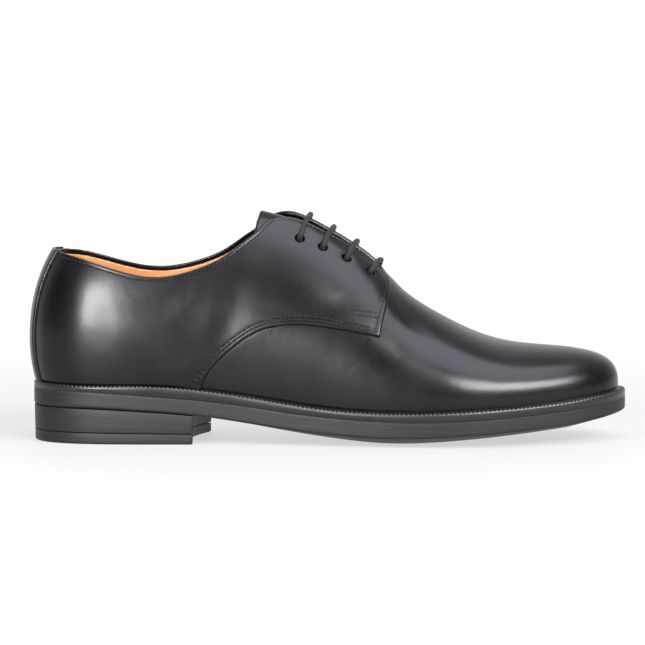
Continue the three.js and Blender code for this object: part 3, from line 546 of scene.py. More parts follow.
def below_topline(p):
    view = p[:, [0, 2]]
    lateral, medial = (line_distance(view, line) for line in TOP_LINES)
    return -((lateral + medial) / 2 + p[:, 1] / TOPLINE_REACH * (medial - lateral) / 2)


def behind_seam(p):
    return -line_distance(p[:, [0, 2]], SEAM_LINE)


def beside_gap(p, hand):
    return hand * (p[:, 1] - facing_edge(p[:, 0], hand))


def on_side(distance, p, hand):
    return np.where(hand < 0, distance(p, -1), distance(p, 1))


def inside_top(p, hand, inset):
    """Distance inside the topline and the facing's edge, with the corner between them rounded."""
    top = below_topline(p) - inset
    beside = on_side(beside_gap, p, hand) - inset
    beside = np.where(p[:, 0] > LENGTH * 0.3, beside, 99.0)
    reach = FACING_CORNER - inset
    corner = reach - np.hypot(np.maximum(reach - top, 0), np.maximum(reach - beside, 0))
    return np.where((top < reach) & (beside < reach), corner, np.minimum(top, beside))


def eyelet_places(hand):
    first = LENGTH * FACING_TOP + EYELET_END_MARGIN + (LACE_SKEW if hand > 0 else 0)
    x = first + EYELET_PITCH * np.arange(EYELET_COUNT)
    edge = find_place(x, facing_edge(x, hand), hand, (0, 1))
    ahead = find_place(x + 1, facing_edge(x + 1, hand), hand, (0, 1))
    start, normal = on_last(edge, np.zeros(EYELET_COUNT))
    end = on_last(ahead, np.zeros(EYELET_COUNT))[0]
    down = np.cross(end - start, normal)
    down *= -hand * EYELET_SETBACK / np.linalg.norm(down, axis=1, keepdims=True)
    target = start + down
    return find_place(target[:, 0], target[:, 1], hand, (0, 1))


EYELETS = {hand: eyelet_places(hand) for hand in (-1, 1)}


def nearest_distance(points, targets):
    if not len(targets):
        return np.full(len(points), 1e3)
    tree = KDTree(len(targets))
    for k, p in enumerate(targets):
        tree.insert(p, k)
    tree.balance()
    return np.array([tree.find(p)[2] for p in points])


def border_points(points, faces):
    out = []
    for a, b in border_edges(faces):
        n = max(int(np.linalg.norm(points[b] - points[a]) / 0.15), 1)
        out.append(points[a] + (points[b] - points[a]) * (np.arange(n) / n)[:, None])
    return np.vstack(out) if out else np.zeros((0, 3))


def rounded(d, radius):
    """Rises from 0 at an edge to 1 at the radius, as a quarter circle."""
    return np.sqrt(np.clip(1 - (1 - np.clip(d / radius, 0, 1)) ** 2, 0, 1))


def bell(d, centre, width):
    return np.exp(-((d - centre) / width) ** 2)


def eyelet_gap(p, hand):
    centres = on_last(EYELETS[hand], np.zeros(EYELET_COUNT))[0]
    return np.min([np.linalg.norm(p - c, axis=1) for c in centres], axis=0) - EYELET_DIAMETER / 2


# The main creases and dimples, each a soft trough or ridge: side, share of length and height above the
# rim of its middle, direction in degrees in the side view, length, width and depth in millimetres.
CREASES = [
    (-1, 0.628, 0.545, -52, 15, 4.5, 0.55),
    (-1, 0.650, 0.470, -58, 13, 5.0, 0.35),
    (-1, 0.606, 0.700, -40, 7, 3.0, -0.40),
    (-1, 0.480, 0.520, 12, 24, 6.0, 0.30),
    (-1, 0.330, 0.420, 58, 22, 7.0, 0.40),
    (-1, 0.292, 0.300, 66, 18, 6.0, -0.25),
    (-1, 0.215, 0.470, 20, 16, 7.0, 0.25),
    (-1, 0.120, 0.330, 80, 20, 8.0, 0.22),
    (1, 0.630, 0.540, -52, 14, 4.5, 0.45),
    (1, 0.655, 0.460, -58, 12, 5.0, 0.30),
    (1, 0.440, 0.500, 15, 24, 7.0, 0.35),
    (1, 0.320, 0.400, 60, 22, 7.0, 0.35),
    (1, 0.210, 0.450, 25, 16, 7.0, 0.25),
]


def crease_depth(p, hand):
    """How far the leather gives way at each point."""
    depth = np.zeros(len(p))
    for side, u, rise, turn, length, width, deep in CREASES:
        centre = side_point(u, rise)
        way = np.array([math.cos(math.radians(turn)), math.sin(math.radians(turn))])
        rel = p[:, [0, 2]] - centre
        along = rel @ way
        bow = rel @ np.array([-way[1], way[0]]) - 0.012 * along ** 2
        amount = deep * np.exp(-(along / length) ** 2 - (bow / width) ** 2)
        depth += np.where(hand == side, amount, 0.0)
    return depth


SHOE_ANGLES = np.linspace(0, math.pi, 181)
SHOE_ROWS = np.linspace(0, 1, 91)


def build_quarters():
    """Both quarters as one leather sheet with a folded edge, punched eyelets and a rolled topline."""
    patch = Patch(SHOE_ANGLES, SHOE_ROWS)
    near_edges = lambda p: (np.abs(behind_seam(p)) < 7) | (np.abs(below_topline(p)) < 4)
    patch.clip(below_topline(patch.points()) + 4)
    patch.clip(behind_seam(patch.points()) + 4)
    patch.refine(near_edges, 0.9)
    patch.clip(behind_seam(patch.points()))
    near_gap = lambda p: (p[:, 0] > LENGTH * 0.38) & (np.abs(p[:, 1]) < 20) & (p[:, 2] > 70)
    patch.refine(near_gap, 0.95)
    patch.clip(inside_top(patch.points(), patch.hand, 0.0))
    patch.clip(on_side(eyelet_gap, patch.points(), patch.hand))
    angle, hand, faces, base, normal = patch.surface()
    rim = border_points(base, faces)
    top_gap = np.minimum(np.abs(inside_top(rim, -1, 0.0)), np.abs(inside_top(rim, 1, 0.0)))
    hole = np.minimum(np.abs(eyelet_gap(rim, -1)), np.abs(eyelet_gap(rim, 1))) < 0.3
    foot = rim[:, 2] < feather_height(rim[:, 0] / LENGTH) + 1.5
    seam_rim = (np.abs(behind_seam(rim)) < 0.3) & ~foot
    roll_rim = (top_gap < 0.3) & ~hole & ~seam_rim
    seam = nearest_distance(base, rim[seam_rim])
    roll = nearest_distance(base, rim[roll_rim])
    punched = nearest_distance(base, rim[hole])
    give = crease_depth(base, hand)
    outer = 0.10 + (QUARTER_STEP - 0.10) * rounded(seam, 0.9) * rounded(roll, 1.1) * rounded(punched, 0.6)
    outer += 0.22 * bell(roll, 1.0, 0.6) - 0.10 * bell(roll, 1.9, 0.35)
    outer -= 0.07 * sum(bell(seam, row, 0.45) for row in SEAM_ROWS) + 0.12 * bell(punched, 1.2, 0.8)
    outer -= give
    turned = np.clip((3.2 - roll) / 0.6, 0, 1)
    inner = 0.02 - give + (QUARTER_STEP - QUARTER_WALL + 0.15) * turned * rounded(roll + 0.25, 0.7)
    return sheet("quarters", base, normal, outer, inner, faces)


def build_vamp():
    """The vamp in one piece round the toe, running on under the quarters."""
    patch = Patch(SHOE_ANGLES, SHOE_ROWS)
    patch.clip(VAMP_UNDERLAP + 1 - behind_seam(patch.points()))
    p = patch.points()
    throat = LENGTH * FACING_END - VAMP_UNDERLAP
    patch.clip(np.where(np.abs(p[:, 1]) < 22, p[:, 0] - throat, 9))
    angle, hand, faces, base, normal = patch.surface()
    give = crease_depth(base, hand)
    under = np.clip(behind_seam(base), 0, 1) * 0.15
    outer = -give - under
    return sheet("vamp", base, normal, outer, outer - 0.5, faces)


def build_lining():
    """Leather lining over the whole inside, up to the topline."""
    patch = Patch(SHOE_ANGLES, SHOE_ROWS)
    p = patch.points()
    under = on_side(beside_gap, p, patch.hand) - LINING_SETBACK
    facing = np.clip((p[:, 0] / LENGTH - FACING_TOP) / 0.02 + 1, 0, 1)
    edge = np.where(behind_seam(p) > 0, inside_top(p, patch.hand, LINING_DROP), below_topline(p))
    edge = np.where(behind_seam(p) > 0, np.minimum(edge, under + 40 * (1 - facing)), edge)
    patch.clip(edge)
    p = patch.points()
    patch.clip(on_side(eyelet_gap, p, patch.hand) - 1.5)
    p = patch.points()
    under_vamp = LENGTH * FACING_END - VAMP_UNDERLAP + 4
    top_part = (p[:, 0] > LENGTH * 0.5) & (p[:, 2] > 40) & (np.abs(p[:, 1]) < 16)
    patch.clip(np.where(top_part, p[:, 0] - under_vamp, 9))
    angle, hand, faces, base, normal = patch.surface()
    forward = np.clip((2 - behind_seam(base)) / 8, 0, 1)
    inner = QUARTER_STEP - QUARTER_WALL - forward * (VAMP_WALL + QUARTER_STEP - QUARTER_WALL)
    edge = np.clip(below_topline(base) - LINING_DROP, 0, 1.2) / 1.2
    outer = -0.05 - 0.55 * forward - 0.25 * (1 - edge)
    inner = inner + 0.1 * (1 - edge)
    give = crease_depth(base, hand)
    return sheet("lining", base, normal, outer - give, inner - give, faces)


def tongue_outline():
    rows = TONGUE
    middle = HALF_BALL * ridge_middle(rows[:, 0])
    lateral = np.stack([LENGTH * rows[:, 0], middle - rows[:, 1] * TONGUE_WIDTH / 2], -1)
    medial = np.stack([LENGTH * rows[1:-1, 0], middle[1:-1] + rows[1:-1, 1] * TONGUE_WIDTH / 2], -1)[::-1]
    loop = np.vstack([lateral, medial])
    return smooth_line(np.vstack([loop, loop[:3]]), 600)


def build_tongue():
    """Padded tongue under the facings, with a folded edge and a seam band along its top."""
    patch = Patch(SHOE_ANGLES, SHOE_ROWS)
    outline = tongue_outline()
    patch.clip(patch.points()[:, 0] - LENGTH * 0.35)
    patch.clip(LENGTH * 0.68 - patch.points()[:, 0])
    patch.clip(np.where(patch.points()[:, 2] > 50, 26 - np.abs(patch.points()[:, 1]), -1))
    patch.refine(lambda p: np.abs(p[:, 1]) < 25, 1.0)
    patch.clip(line_distance(patch.points()[:, :2], outline))
    angle, hand, faces, base, normal = patch.surface()
    top = last_ridge(share_of(angle))
    along = np.clip((top - 0.585) / 0.035, 0, 1)
    along = along * along * (3 - 2 * along)
    inside = QUARTER_STEP - QUARTER_WALL
    depth = (inside - 2.5) * (1 - along) + (-VAMP_WALL - SEAT_GAP) * along
    edge = nearest_distance(base, border_points(base, faces))
    middle = depth - TONGUE_THICKNESS / 2
    half = TONGUE_THICKNESS / 2 * (0.25 + 0.75 * rounded(edge, 1.6))
    band = -0.12 * bell(edge, 2.4, 0.35)
    return sheet("tongue_leather", base, normal, middle + half + band, middle - half, faces)


def build_back_strip():
    """Narrow strip over the back seam, reaching a little above the topline."""
    patch = Patch(np.linspace(0, 0.6, 60), SHOE_ROWS)
    patch.clip(below_topline(patch.points()) + 0.25)
    patch.refine(lambda p: np.abs(p[:, 1]) < STRIP_WIDTH / 2 + 2, 0.9)
    patch.clip(STRIP_WIDTH / 2 - np.abs(patch.points()[:, 1]))
    angle, hand, faces, base, normal = patch.surface()
    rim = border_points(base, faces)
    rim = rim[rim[:, 2] > feather_height(0.0) + 1.0]
    edge = nearest_distance(base, rim)
    outer = QUARTER_STEP + 0.1 + (STRIP_THICKNESS + SEAT_GAP - 0.1) * rounded(edge, 0.9)
    outer -= 0.08 * bell(edge, 1.9, 0.35)
    inner = np.full(len(base), QUARTER_STEP - 0.15)
    return sheet("back_strip_leather", base, normal, outer, inner, faces)


# Loops of points round the plan: lateral side from the toe back to the heel, then the medial side.
LOOP_HALF = 260
LOOP_ANGLES = np.concatenate([np.linspace(math.pi, 0, LOOP_HALF, endpoint=False),
                              np.linspace(0, math.pi, LOOP_HALF, endpoint=False)])
LOOP_HANDS = np.repeat([-1.0, 1.0], LOOP_HALF)


def plan_loop(inset, height, angles=LOOP_ANGLES, hands=LOOP_HANDS):
    u = share_of(angles)
    inset = inset(u) if callable(inset) else inset
    height = height(u) if callable(height) else height
    x, y = plan_point(angles, hands, inset)
    return np.stack([x, y, height], -1)


def loop_quads(count, turns, closed):
    steps = turns if closed else turns - 1
    faces = []
    for j in range(steps):
        up = ((j + 1) % turns) * count
        for i in range(count):
            k = (i + 1) % count
            faces.append((j * count + i, up + i, up + k, j * count + k))
    return faces


def cap_quads(count, start, upwards):
    faces = []
    for i in range(count // 2):
        ring = [start + i, start + i + 1, start + (count - i - 1) % count, start + (count - i) % count]
        ring = list(dict.fromkeys(ring))
        if len(ring) > 2:
            faces.append(tuple(ring[::-1]) if upwards else tuple(ring))
    return faces


def loop_solid(name, loops, closed=False):
    count = len(loops[0])
    faces = loop_quads(count, len(loops), closed)
    if not closed:
        faces += cap_quads(count, 0, False) + cap_quads(count, (len(loops) - 1) * count, True)
    return make_mesh(name, np.vstack(loops), faces)


def quarter_turns(count, first=0):
    return [math.radians(90 * k / count) for k in range(first, count + 1)]


def build_outsole():
    shares = (0.2, 0.4, 0.55, 0.68, 0.78, 0.86, 0.93, 0.975)
    u = share_of(LOOP_ANGLES)
    spine = angle_of(0.1)
    middle_angle = np.clip(LOOP_ANGLES, spine, math.pi - spine)
    left = plan_point(middle_angle, -1, 0.0)
    right = plan_point(middle_angle, 1, 0.0)
    middle = np.stack([(left[0] + right[0]) / 2, (left[1] + right[1]) / 2], -1)
    rim = np.stack(plan_point(LOOP_ANGLES, LOOP_HANDS, SOLE_ROUND), -1)
    loops = []
    for s in shares:
        xy = middle + (rim - middle) * s
        z = np.maximum(sole_bottom(u) - SOLE_CROWN * side_crown(u) * (1 - s ** 3), 0.0)
        loops.append(np.column_stack([xy, z]))
    for turn in quarter_turns(6):
        height = sole_bottom(u) + SOLE_ROUND * (1 - math.cos(turn))
        loops.append(plan_loop(SOLE_ROUND * (1 - math.sin(turn)), height))
    low, high = sole_bottom(u) + SOLE_ROUND, rim_height(u) - RIM_ROUND
    for share in (0.2, 0.4, 0.6, 0.8, 1.0):
        loops.append(plan_loop(0.0, low * (1 - share) + high * share))
    for turn in quarter_turns(3, 1):
        height = rim_height(u) - RIM_ROUND * (1 - math.sin(turn))
        loops.append(plan_loop(RIM_ROUND * (1 - math.cos(turn)), height))
    return loop_solid("outsole_edge", loops)


def build_welt():
    """Welt with a round outer edge and the wheel's marks pressed across its top."""
    half = 1200
    angles, hands, along = [], [], []
    for run, hand in ((np.linspace(math.pi, 0, 4000), -1.0), (np.linspace(0, math.pi, 4000), 1.0)):
        x, y = plan_point(run, hand, 3.0)
        length = np.concatenate([[0], np.cumsum(np.hypot(np.diff(x), np.diff(y)))])
        at = np.linspace(0, length[-1], half, endpoint=False)
        angles.append(np.interp(at, length, run))
        hands.append(np.full(half, hand))
        along.append(at + (along[-1][-1] if along else 0))
    angles, hands, along = (np.concatenate(part) for part in (angles, hands, along))
    marks = 0.5 + 0.5 * np.cos(2 * math.pi * along / WHEEL_PITCH)
    marks = WHEEL_DEPTH * np.clip(marks * 1.6 - 0.6, 0, 1)
    inner = lambda v: feather_inset(v) + VAMP_WALL
    low = lambda v: rim_height(v) - 0.1
    loops = [plan_loop(inner, low, angles, hands), plan_loop(0.0, low, angles, hands)]
    for turn in quarter_turns(7):
        height = lambda v: welt_top(v) - WELT_ROUND * (1 - math.sin(turn))
        ring = plan_loop(WELT_ROUND * (1 - math.cos(turn)), height, angles, hands)
        ring[:, 2] -= marks * math.sin(turn)
        loops.append(ring)
    for share in (0.35, 0.7, 1.0):
        inset = lambda v: WELT_ROUND * (1 - share) + (feather_inset(v) - 0.4) * share
        ring = plan_loop(inset, welt_top, angles, hands)
        ring[:, 2] -= marks * (1 - share * 0.7)
        loops.append(ring)
    for inset in (0.25, 1.2):
        under = lambda v: feather_inset(v) + inset
        loops.append(plan_loop(under, lambda v: welt_top(v) + 0.6, angles, hands))
    loops.append(plan_loop(inner, welt_top, angles, hands))
    return loop_solid("welt_strip", loops, closed=True)


def heel_loop(inset, height):
    """Loop of the heel: round the back, then across the hollow breast."""
    half = HALF_BALL * float(plan_side[-1](angle_of(BREAST_POSITION / LENGTH)))

    def breast(y):
        across = (y + half) / (2 * half)
        return BREAST_POSITION + BREAST_SKEW * across - BREAST_DEPTH * (1 - (2 * across - 1) ** 2) - inset
    ends = {}
    for hand in (-1, 1):
        run = np.linspace(0.5, 1.6, 2000)
        x, y = plan_point(run, hand, inset)
        ends[hand] = run[np.argmax(x > breast(y))]
    angles = np.concatenate([np.linspace(ends[-1], 0, 90), np.linspace(0, ends[1], 90)[1:]])
    hands = np.concatenate([np.full(90, -1.0), np.full(89, 1.0)])
    x, y = plan_point(angles, hands, inset)
    arc = np.linspace(y[-1], y[0], 42)[1:-1]
    x = np.concatenate([x, breast(arc)])
    y = np.concatenate([y, arc])
    u = np.clip(x, 0, LENGTH) / LENGTH
    z = height(u) if callable(height) else np.full(len(u), height)
    return np.stack([x, y, z], -1)


def heel_solid(name, loops):
    count = len(loops[0])
    faces = loop_quads(count, len(loops), False)
    faces += [tuple(range(count)), tuple(range((len(loops) - 1) * count, len(loops) * count))[::-1]]
    return make_mesh(name, np.vstack(loops), faces)


def top_lift_top(u):
    return TOP_LIFT_BACK + (TOP_LIFT_BREAST - TOP_LIFT_BACK) * np.minimum(u, 0.5) * LENGTH / BREAST_POSITION


def heel_taper(share):
    return HEEL_INSET + HEEL_TAPER * share


def build_heel():
    """The stack and the lift under it, with a groove between all layers."""
    low = lambda u: top_lift_top(u) + SEAT_GAP
    high = lambda u: sole_bottom(u) - SEAT_GAP
    block = [heel_loop(heel_taper(0.8) + HEEL_GROOVE, low),
             heel_loop(heel_taper(0.8) + HEEL_SHOULDER, lambda u: low(u) + 0.1)]
    for share in (0.04, 0.3, 0.6, 0.96):
        level = lambda u: low(u) * (1 - share) + high(u) * share
        block.append(heel_loop(heel_taper(0.8 * (1 - share)), level))
    block += [heel_loop(heel_taper(0) + HEEL_SHOULDER, lambda u: high(u) - 0.1),
              heel_loop(heel_taper(0) + HEEL_GROOVE, high)]
    lift = [heel_loop(heel_taper(1) + LIFT_ROUND * (1 - math.sin(turn)), LIFT_ROUND * (1 - math.cos(turn)))
            for turn in quarter_turns(5)]
    lift += [heel_loop(heel_taper(0.9), lambda u: top_lift_top(u) - 0.35),
             heel_loop(heel_taper(0.8) + HEEL_SHOULDER, lambda u: top_lift_top(u) - 0.08),
             heel_loop(heel_taper(0.8) + HEEL_GROOVE, top_lift_top)]
    return heel_solid("heel_stack", block), heel_solid("heel_lift", lift)


def build_sock():
    edge = lambda u: feather_inset(u) + VAMP_WALL + SEAT_GAP
    above = lambda share: lambda u: welt_top(u) + INSOLE_THICKNESS * share
    loops = [plan_loop(edge, welt_bottom), plan_loop(edge, above(0.7))]
    for turn in quarter_turns(4, 1):
        inset = lambda u: edge(u) + 0.9 * (1 - math.cos(turn))
        loops.append(plan_loop(inset, above(0.7 + 0.3 * math.sin(turn))))
    return loop_solid("sock_lining", loops)


def tube(route, radius, sides, flat, flats):
    """Vertices and faces of a closed tube; its radius may change along it and round it."""
    way = np.gradient(route, axis=0)
    way /= np.linalg.norm(way, axis=1, keepdims=True)
    across = np.cross(way, flats)
    across /= np.linalg.norm(across, axis=1, keepdims=True)
    up = np.cross(across, way) * flat
    turn = 2 * math.pi * np.arange(sides) / sides
    radius = np.broadcast_to(radius, (len(route), sides))
    ring = (across[:, None, :] * (np.cos(turn) * radius)[..., None]
            + up[:, None, :] * (np.sin(turn) * radius)[..., None])
    verts = (route[:, None, :] + ring).reshape(-1, 3)
    faces = []
    for j in range(len(route) - 1):
        for i in range(sides):
            k = (i + 1) % sides
            faces.append((j * sides + i, j * sides + k, (j + 1) * sides + k, (j + 1) * sides + i))
    faces.append(tuple(range(sides))[::-1])
    faces.append(tuple(range((len(route) - 1) * sides, len(route) * sides)))
    return verts, faces


class Gather:
    """Collects many small solids into one mesh."""

    def __init__(self):
        self.verts, self.faces, self.count = [], [], 0

    def add(self, verts, faces):
        self.verts.append(verts)
        self.faces += [tuple(i + self.count for i in f) for f in faces]
        self.count += len(verts)

    def mesh(self, name):
        return make_mesh(name, np.vstack(self.verts), self.faces)


def braided(route, radius):
    """A round braided cord: a tube whose surface rises where its strands cross over."""
    turn = 2 * math.pi * np.arange(BRAID_SIDES) / BRAID_SIDES
    twist = lengths_along(route)[:, None] * 2 * math.pi / BRAID_PITCH
    weave = np.maximum(np.cos(4 * turn + twist), np.cos(4 * turn - twist))
    return tube(route, radius * (0.93 + 0.075 * weave), BRAID_SIDES, 1.0, np.array([0.9, 0.0, 0.45]))


def build_lace():
    """One lace: a straight bar over the gap at each pair of eyelets, and hidden runs between them."""
    lace = Gather()
    radius = LACE_DIAMETER / 2
    inside = QUARTER_STEP - QUARTER_WALL - SEAT_GAP - 0.8
    over = QUARTER_STEP + 0.35 * SEAT_GAP + radius
    for i in range(EYELET_COUNT):
        halves = []
        for hand in (-1, 1):
            angle, side, t = EYELETS[hand]
            place = (angle[i:i + 1], side[i:i + 1], t[i:i + 1])
            x_edge = LENGTH * FACING_TOP + EYELET_END_MARGIN + EYELET_PITCH * i + (1.3 if hand < 0 else 2.8)
            edge = np.array([x_edge, facing_edge(x_edge, hand)])
            eye = on_last(place, np.zeros(1))[0][0]
            half = [on_last(place, np.array([d]))[0][0] for d in (inside, inside / 2, over - 0.5 * radius)]
            for share, lift in ((0.16, 0.45 * radius), (0.35, 0.1 * radius), (0.65, 0.0), (0.95, 0.0)):
                spot = eye[:2] + (edge - eye[:2]) * share
                spot = find_place(spot[:1], spot[1:], hand, (0, 1))
                half.append(on_last(spot, np.array([over + lift]))[0][0])
            halves.append(half)
        route = smooth_line(np.array(halves[0] + halves[1][::-1]), 260)
        lace.add(*braided(route, radius))
    for i in range(1, EYELET_COUNT):
        hand = 1 if i % 2 else -1
        angle, side, t = EYELETS[hand]
        share = np.linspace(0, 1, 14)
        place = (angle[i - 1] + (angle[i] - angle[i - 1]) * share, np.full(14, float(hand)),
                 t[i - 1] + (t[i] - t[i - 1]) * share)
        depth = QUARTER_STEP - QUARTER_WALL - 1.25
        points, normals = on_last(place, np.full(14, depth))
        lace.add(*tube(points, radius, 12, 0.5, normals))
    return lace.mesh("shoe_lace")


def stitch_row(gather, places, offset, pitch):
    """Short stitches end to end along a line of places on the last."""
    points, normals = on_last(places, offset)
    length = lengths_along(points)
    count = max(int(length[-1] / pitch), 1)
    for k in range(count):
        at = length[-1] * (k + np.linspace(0.10, 0.90, 6)) / count
        mid = np.stack([np.interp(at, length, points[:, c]) for c in range(3)], -1)
        up = np.stack([np.interp(at, length, normals[:, c]) for c in range(3)], -1)
        bow = np.sin(np.linspace(0, math.pi, 6)) ** 0.6 * THREAD_RISE - 0.16
        gather.add(*tube(mid + up * bow[:, None], THREAD_RADIUS, 6, 0.8, up))


def places_from_view(points, hand):
    """Places on one side of the last under points of the side view."""
    return find_place(points[:, 0], points[:, 1], hand, (0, 2))


def inset_line(line, distance):
    """A side view line moved square to itself, to its right."""
    way = np.gradient(line, axis=0)
    way /= np.linalg.norm(way, axis=1, keepdims=True)
    return line + np.stack([way[:, 1], -way[:, 0]], -1) * distance


def build_stitches():
    """Rows of stitches: two along the quarter's lower seam, one up its front and round the top edges."""
    rows = Gather()
    top_of_step = QUARTER_STEP - 0.04
    for hand in (-1, 1):
        for distance in SEAM_ROWS:
            keep = inset_line(LOWER_LINE, distance)
            foot = keep[:, 1] > feather_height(keep[:, 0] / LENGTH) + 2.5
            inner = keep[:, 0] < LENGTH * 0.5825 - distance - 0.6
            stitch_row(rows, places_from_view(keep[foot & inner], hand), top_of_step, SEAM_PITCH)
        front = inset_line(FRONT_LINE[12:-4], FRONT_ROW)
        stitch_row(rows, places_from_view(front, hand), top_of_step, SEAM_PITCH)
        # The bar tack by the quarter's corner: a narrow tab of close stitches.
        corner = side_point(0.578, 0.512)
        for lift in (0.0, 2.2):
            tab = np.linspace(corner + [0, lift], corner + [-12.5, 2.0 + lift], 12)
            stitch_row(rows, places_from_view(tab, hand), top_of_step, 2.0)
        end = np.linspace(corner + [-12.5, 2.0], corner + [-12.5, 4.2], 4)
        stitch_row(rows, places_from_view(end, hand), top_of_step, 1.1)
        # Beside the facing's edge and along the topline.
        x = np.linspace(LENGTH * FACING_TOP + 6.5, LENGTH * FACING_END - 7.0, 38)
        edge = facing_edge(x, hand) + hand * EDGE_ROW
        stitch_row(rows, find_place(x, edge, hand, (0, 1)), top_of_step, EDGE_PITCH)
        line = inset_line(TOP_LINES[0 if hand < 0 else 1], EDGE_ROW)
        back = (line[:, 0] > STRIP_WIDTH * 0.12 + 3) & (line[:, 0] < LENGTH * FACING_TOP - 5)
        stitch_row(rows, places_from_view(line[back], hand), top_of_step, EDGE_PITCH)
    return rows.mesh("upper_stitches")


def new_material(name):
    """A node material: itself, its node tree, its shader and the surface's own coordinates."""
    material = bpy.data.materials.new(name)
    material.use_nodes = True
    tree = material.node_tree
    tree.nodes.clear()
    out = tree.nodes.new("ShaderNodeOutputMaterial")
    shader = tree.nodes.new("ShaderNodeBsdfPrincipled")
    tree.links.new(shader.outputs["BSDF"], out.inputs["Surface"])
    return material, tree, shader, tree.nodes.new("ShaderNodeTexCoord").outputs["Object"]


def add_node(tree, kind, **inputs):
    node = tree.nodes.new(kind)
    for key, value in inputs.items():
        socket = node.inputs[key.replace("_", " ")]
        if isinstance(value, bpy.types.NodeSocket):
            tree.links.new(value, socket)
        else:
            socket.default_value = value
    return node


def noise(tree, where, scale, detail, roughness):
    node = add_node(tree, "ShaderNodeTexNoise", Vector=where, Scale=scale, Detail=detail, Roughness=roughness)
    return node.outputs["Fac"]


def ramp(tree, source, low, high, low_at=0.3, high_at=0.7):
    node = add_node(tree, "ShaderNodeMapRange", Value=source, From_Min=low_at, From_Max=high_at,
                    To_Min=low, To_Max=high)
    return node.outputs["Result"]


def tint(tree, shader, source, low, high):
    """Colour that goes from low to high with the source."""
    node = tree.nodes.new("ShaderNodeMix")
    node.data_type = "RGBA"
    tree.links.new(ramp(tree, source, 0, 1), node.inputs["Factor"])
    node.inputs[6].default_value = (*low, 1)
    node.inputs[7].default_value = (*high, 1)
    tree.links.new(node.outputs[2], shader.inputs["Base Color"])


def bump(tree, height, distance, strength, below=None):
    node = add_node(tree, "ShaderNodeBump", Strength=strength, Distance=distance, Height=height)
    if below is not None:
        tree.links.new(below, node.inputs["Normal"])
    return node.outputs["Normal"]


def leather(name, low, high, rough, coat, grain, wrinkle, gloss=0.5):
    """Leather with fine pores, a soft uneven surface and a slightly varied finish."""
    material, tree, shader, where = new_material(name)
    clouds = noise(tree, where, 38.0, 3.0, 0.55)
    shader.inputs["Base Color"].default_value = (*low, 1)
    tint(tree, shader, clouds, low, high)
    tree.links.new(ramp(tree, clouds, *rough, 0.25, 0.75), shader.inputs["Roughness"])
    waves = bump(tree, clouds, 0.0005 * wrinkle, 0.5)
    creased = bump(tree, noise(tree, where, 310.0, 0.0, 0.5), 0.00003 * grain, 0.4, waves)
    pored = bump(tree, noise(tree, where, 1000.0, 0.0, 0.5), 0.00002 * grain, 0.5, creased)
    tree.links.new(pored, shader.inputs["Normal"])
    tree.links.new(waves, shader.inputs["Coat Normal"])
    shader.inputs["Coat Weight"].default_value = coat[0]
    shader.inputs["Coat Roughness"].default_value = coat[1]
    shader.inputs["IOR"].default_value = 1.5
    shader.inputs["Specular IOR Level"].default_value = gloss
    return material


def edge_dressing(name, low, high, rough, stretch, depth):
    """Dressed sole edge: matte, finely brushed round the shoe."""
    material, tree, shader, where = new_material(name)
    along = add_node(tree, "ShaderNodeMapping", Vector=where, Scale=stretch).outputs["Vector"]
    lines = noise(tree, along, 1.0, 3.0, 0.6)
    grit = noise(tree, where, 900.0, 3.0, 0.6)
    tint(tree, shader, lines, low, high)
    tree.links.new(ramp(tree, grit, *rough), shader.inputs["Roughness"])
    brushed = bump(tree, lines, depth, 0.6)
    tree.links.new(bump(tree, grit, 0.00008, 0.5, brushed), shader.inputs["Normal"])
    shader.inputs["Specular IOR Level"].default_value = 0.3
    return material


def cotton(name, low, high):
    """Waxed cotton with fine fibres."""
    material, tree, shader, where = new_material(name)
    fibres = noise(tree, where, 2600.0, 3.0, 0.7)
    tint(tree, shader, fibres, low, high)
    tree.links.new(ramp(tree, fibres, 0.5, 0.75), shader.inputs["Roughness"])
    tree.links.new(bump(tree, fibres, 0.00012, 0.7), shader.inputs["Normal"])
    shader.inputs["Sheen Weight"].default_value = 0.04
    shader.inputs["Specular IOR Level"].default_value = 0.25
    return material


# Each leather: dark and light colour, roughness from and to, coat weight and roughness, then how strong
# its grain, its wrinkles and its gloss are.
CALF = leather("calf", (0.0016, 0.0015, 0.0019), (0.0036, 0.0033, 0.0042), (0.25, 0.33), (0.07, 0.16),
               1.2, 1.0, 0.25)
LINING = leather("lining", (0.36, 0.15, 0.05), (0.5, 0.225, 0.08), (0.45, 0.6), (0.05, 0.3), 0.8, 0.6)
SOCK = leather("sock", (0.4, 0.17, 0.06), (0.52, 0.235, 0.085), (0.42, 0.55), (0.08, 0.25), 0.7, 0.4)
WELTING = leather("welting", (0.003, 0.003, 0.003), (0.008, 0.008, 0.008), (0.3, 0.42), (0.1, 0.2), 0.8, 0.3)
EDGE = edge_dressing("sole_edge", (0.0045, 0.0046, 0.005), (0.013, 0.0132, 0.014), (0.42, 0.58),
                     (30.0, 30.0, 1900.0), 0.0001)
COTTON = cotton("lace_cotton", (0.003, 0.003, 0.0033), (0.009, 0.0088, 0.0095))


def finish_piece(piece, material, node):
    piece.data.materials.append(material)
    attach(piece, "root")
    if node:
        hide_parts(node)


finish_piece(build_quarters(), CALF, "upper")
finish_piece(build_vamp(), CALF, None)
finish_piece(build_lining(), LINING, None)
finish_piece(build_tongue(), CALF, "tongue")
finish_piece(build_back_strip(), CALF, "back_strip")
finish_piece(build_outsole(), EDGE, "outsole")
finish_piece(build_welt(), WELTING, "welt")
stack, lift = build_heel()
finish_piece(stack, EDGE, "heel_block")
finish_piece(lift, EDGE, "top_lift")
finish_piece(build_sock(), SOCK, "insole")
finish_piece(build_lace(), COTTON, "lace")
finish_piece(build_stitches(), CALF, None)


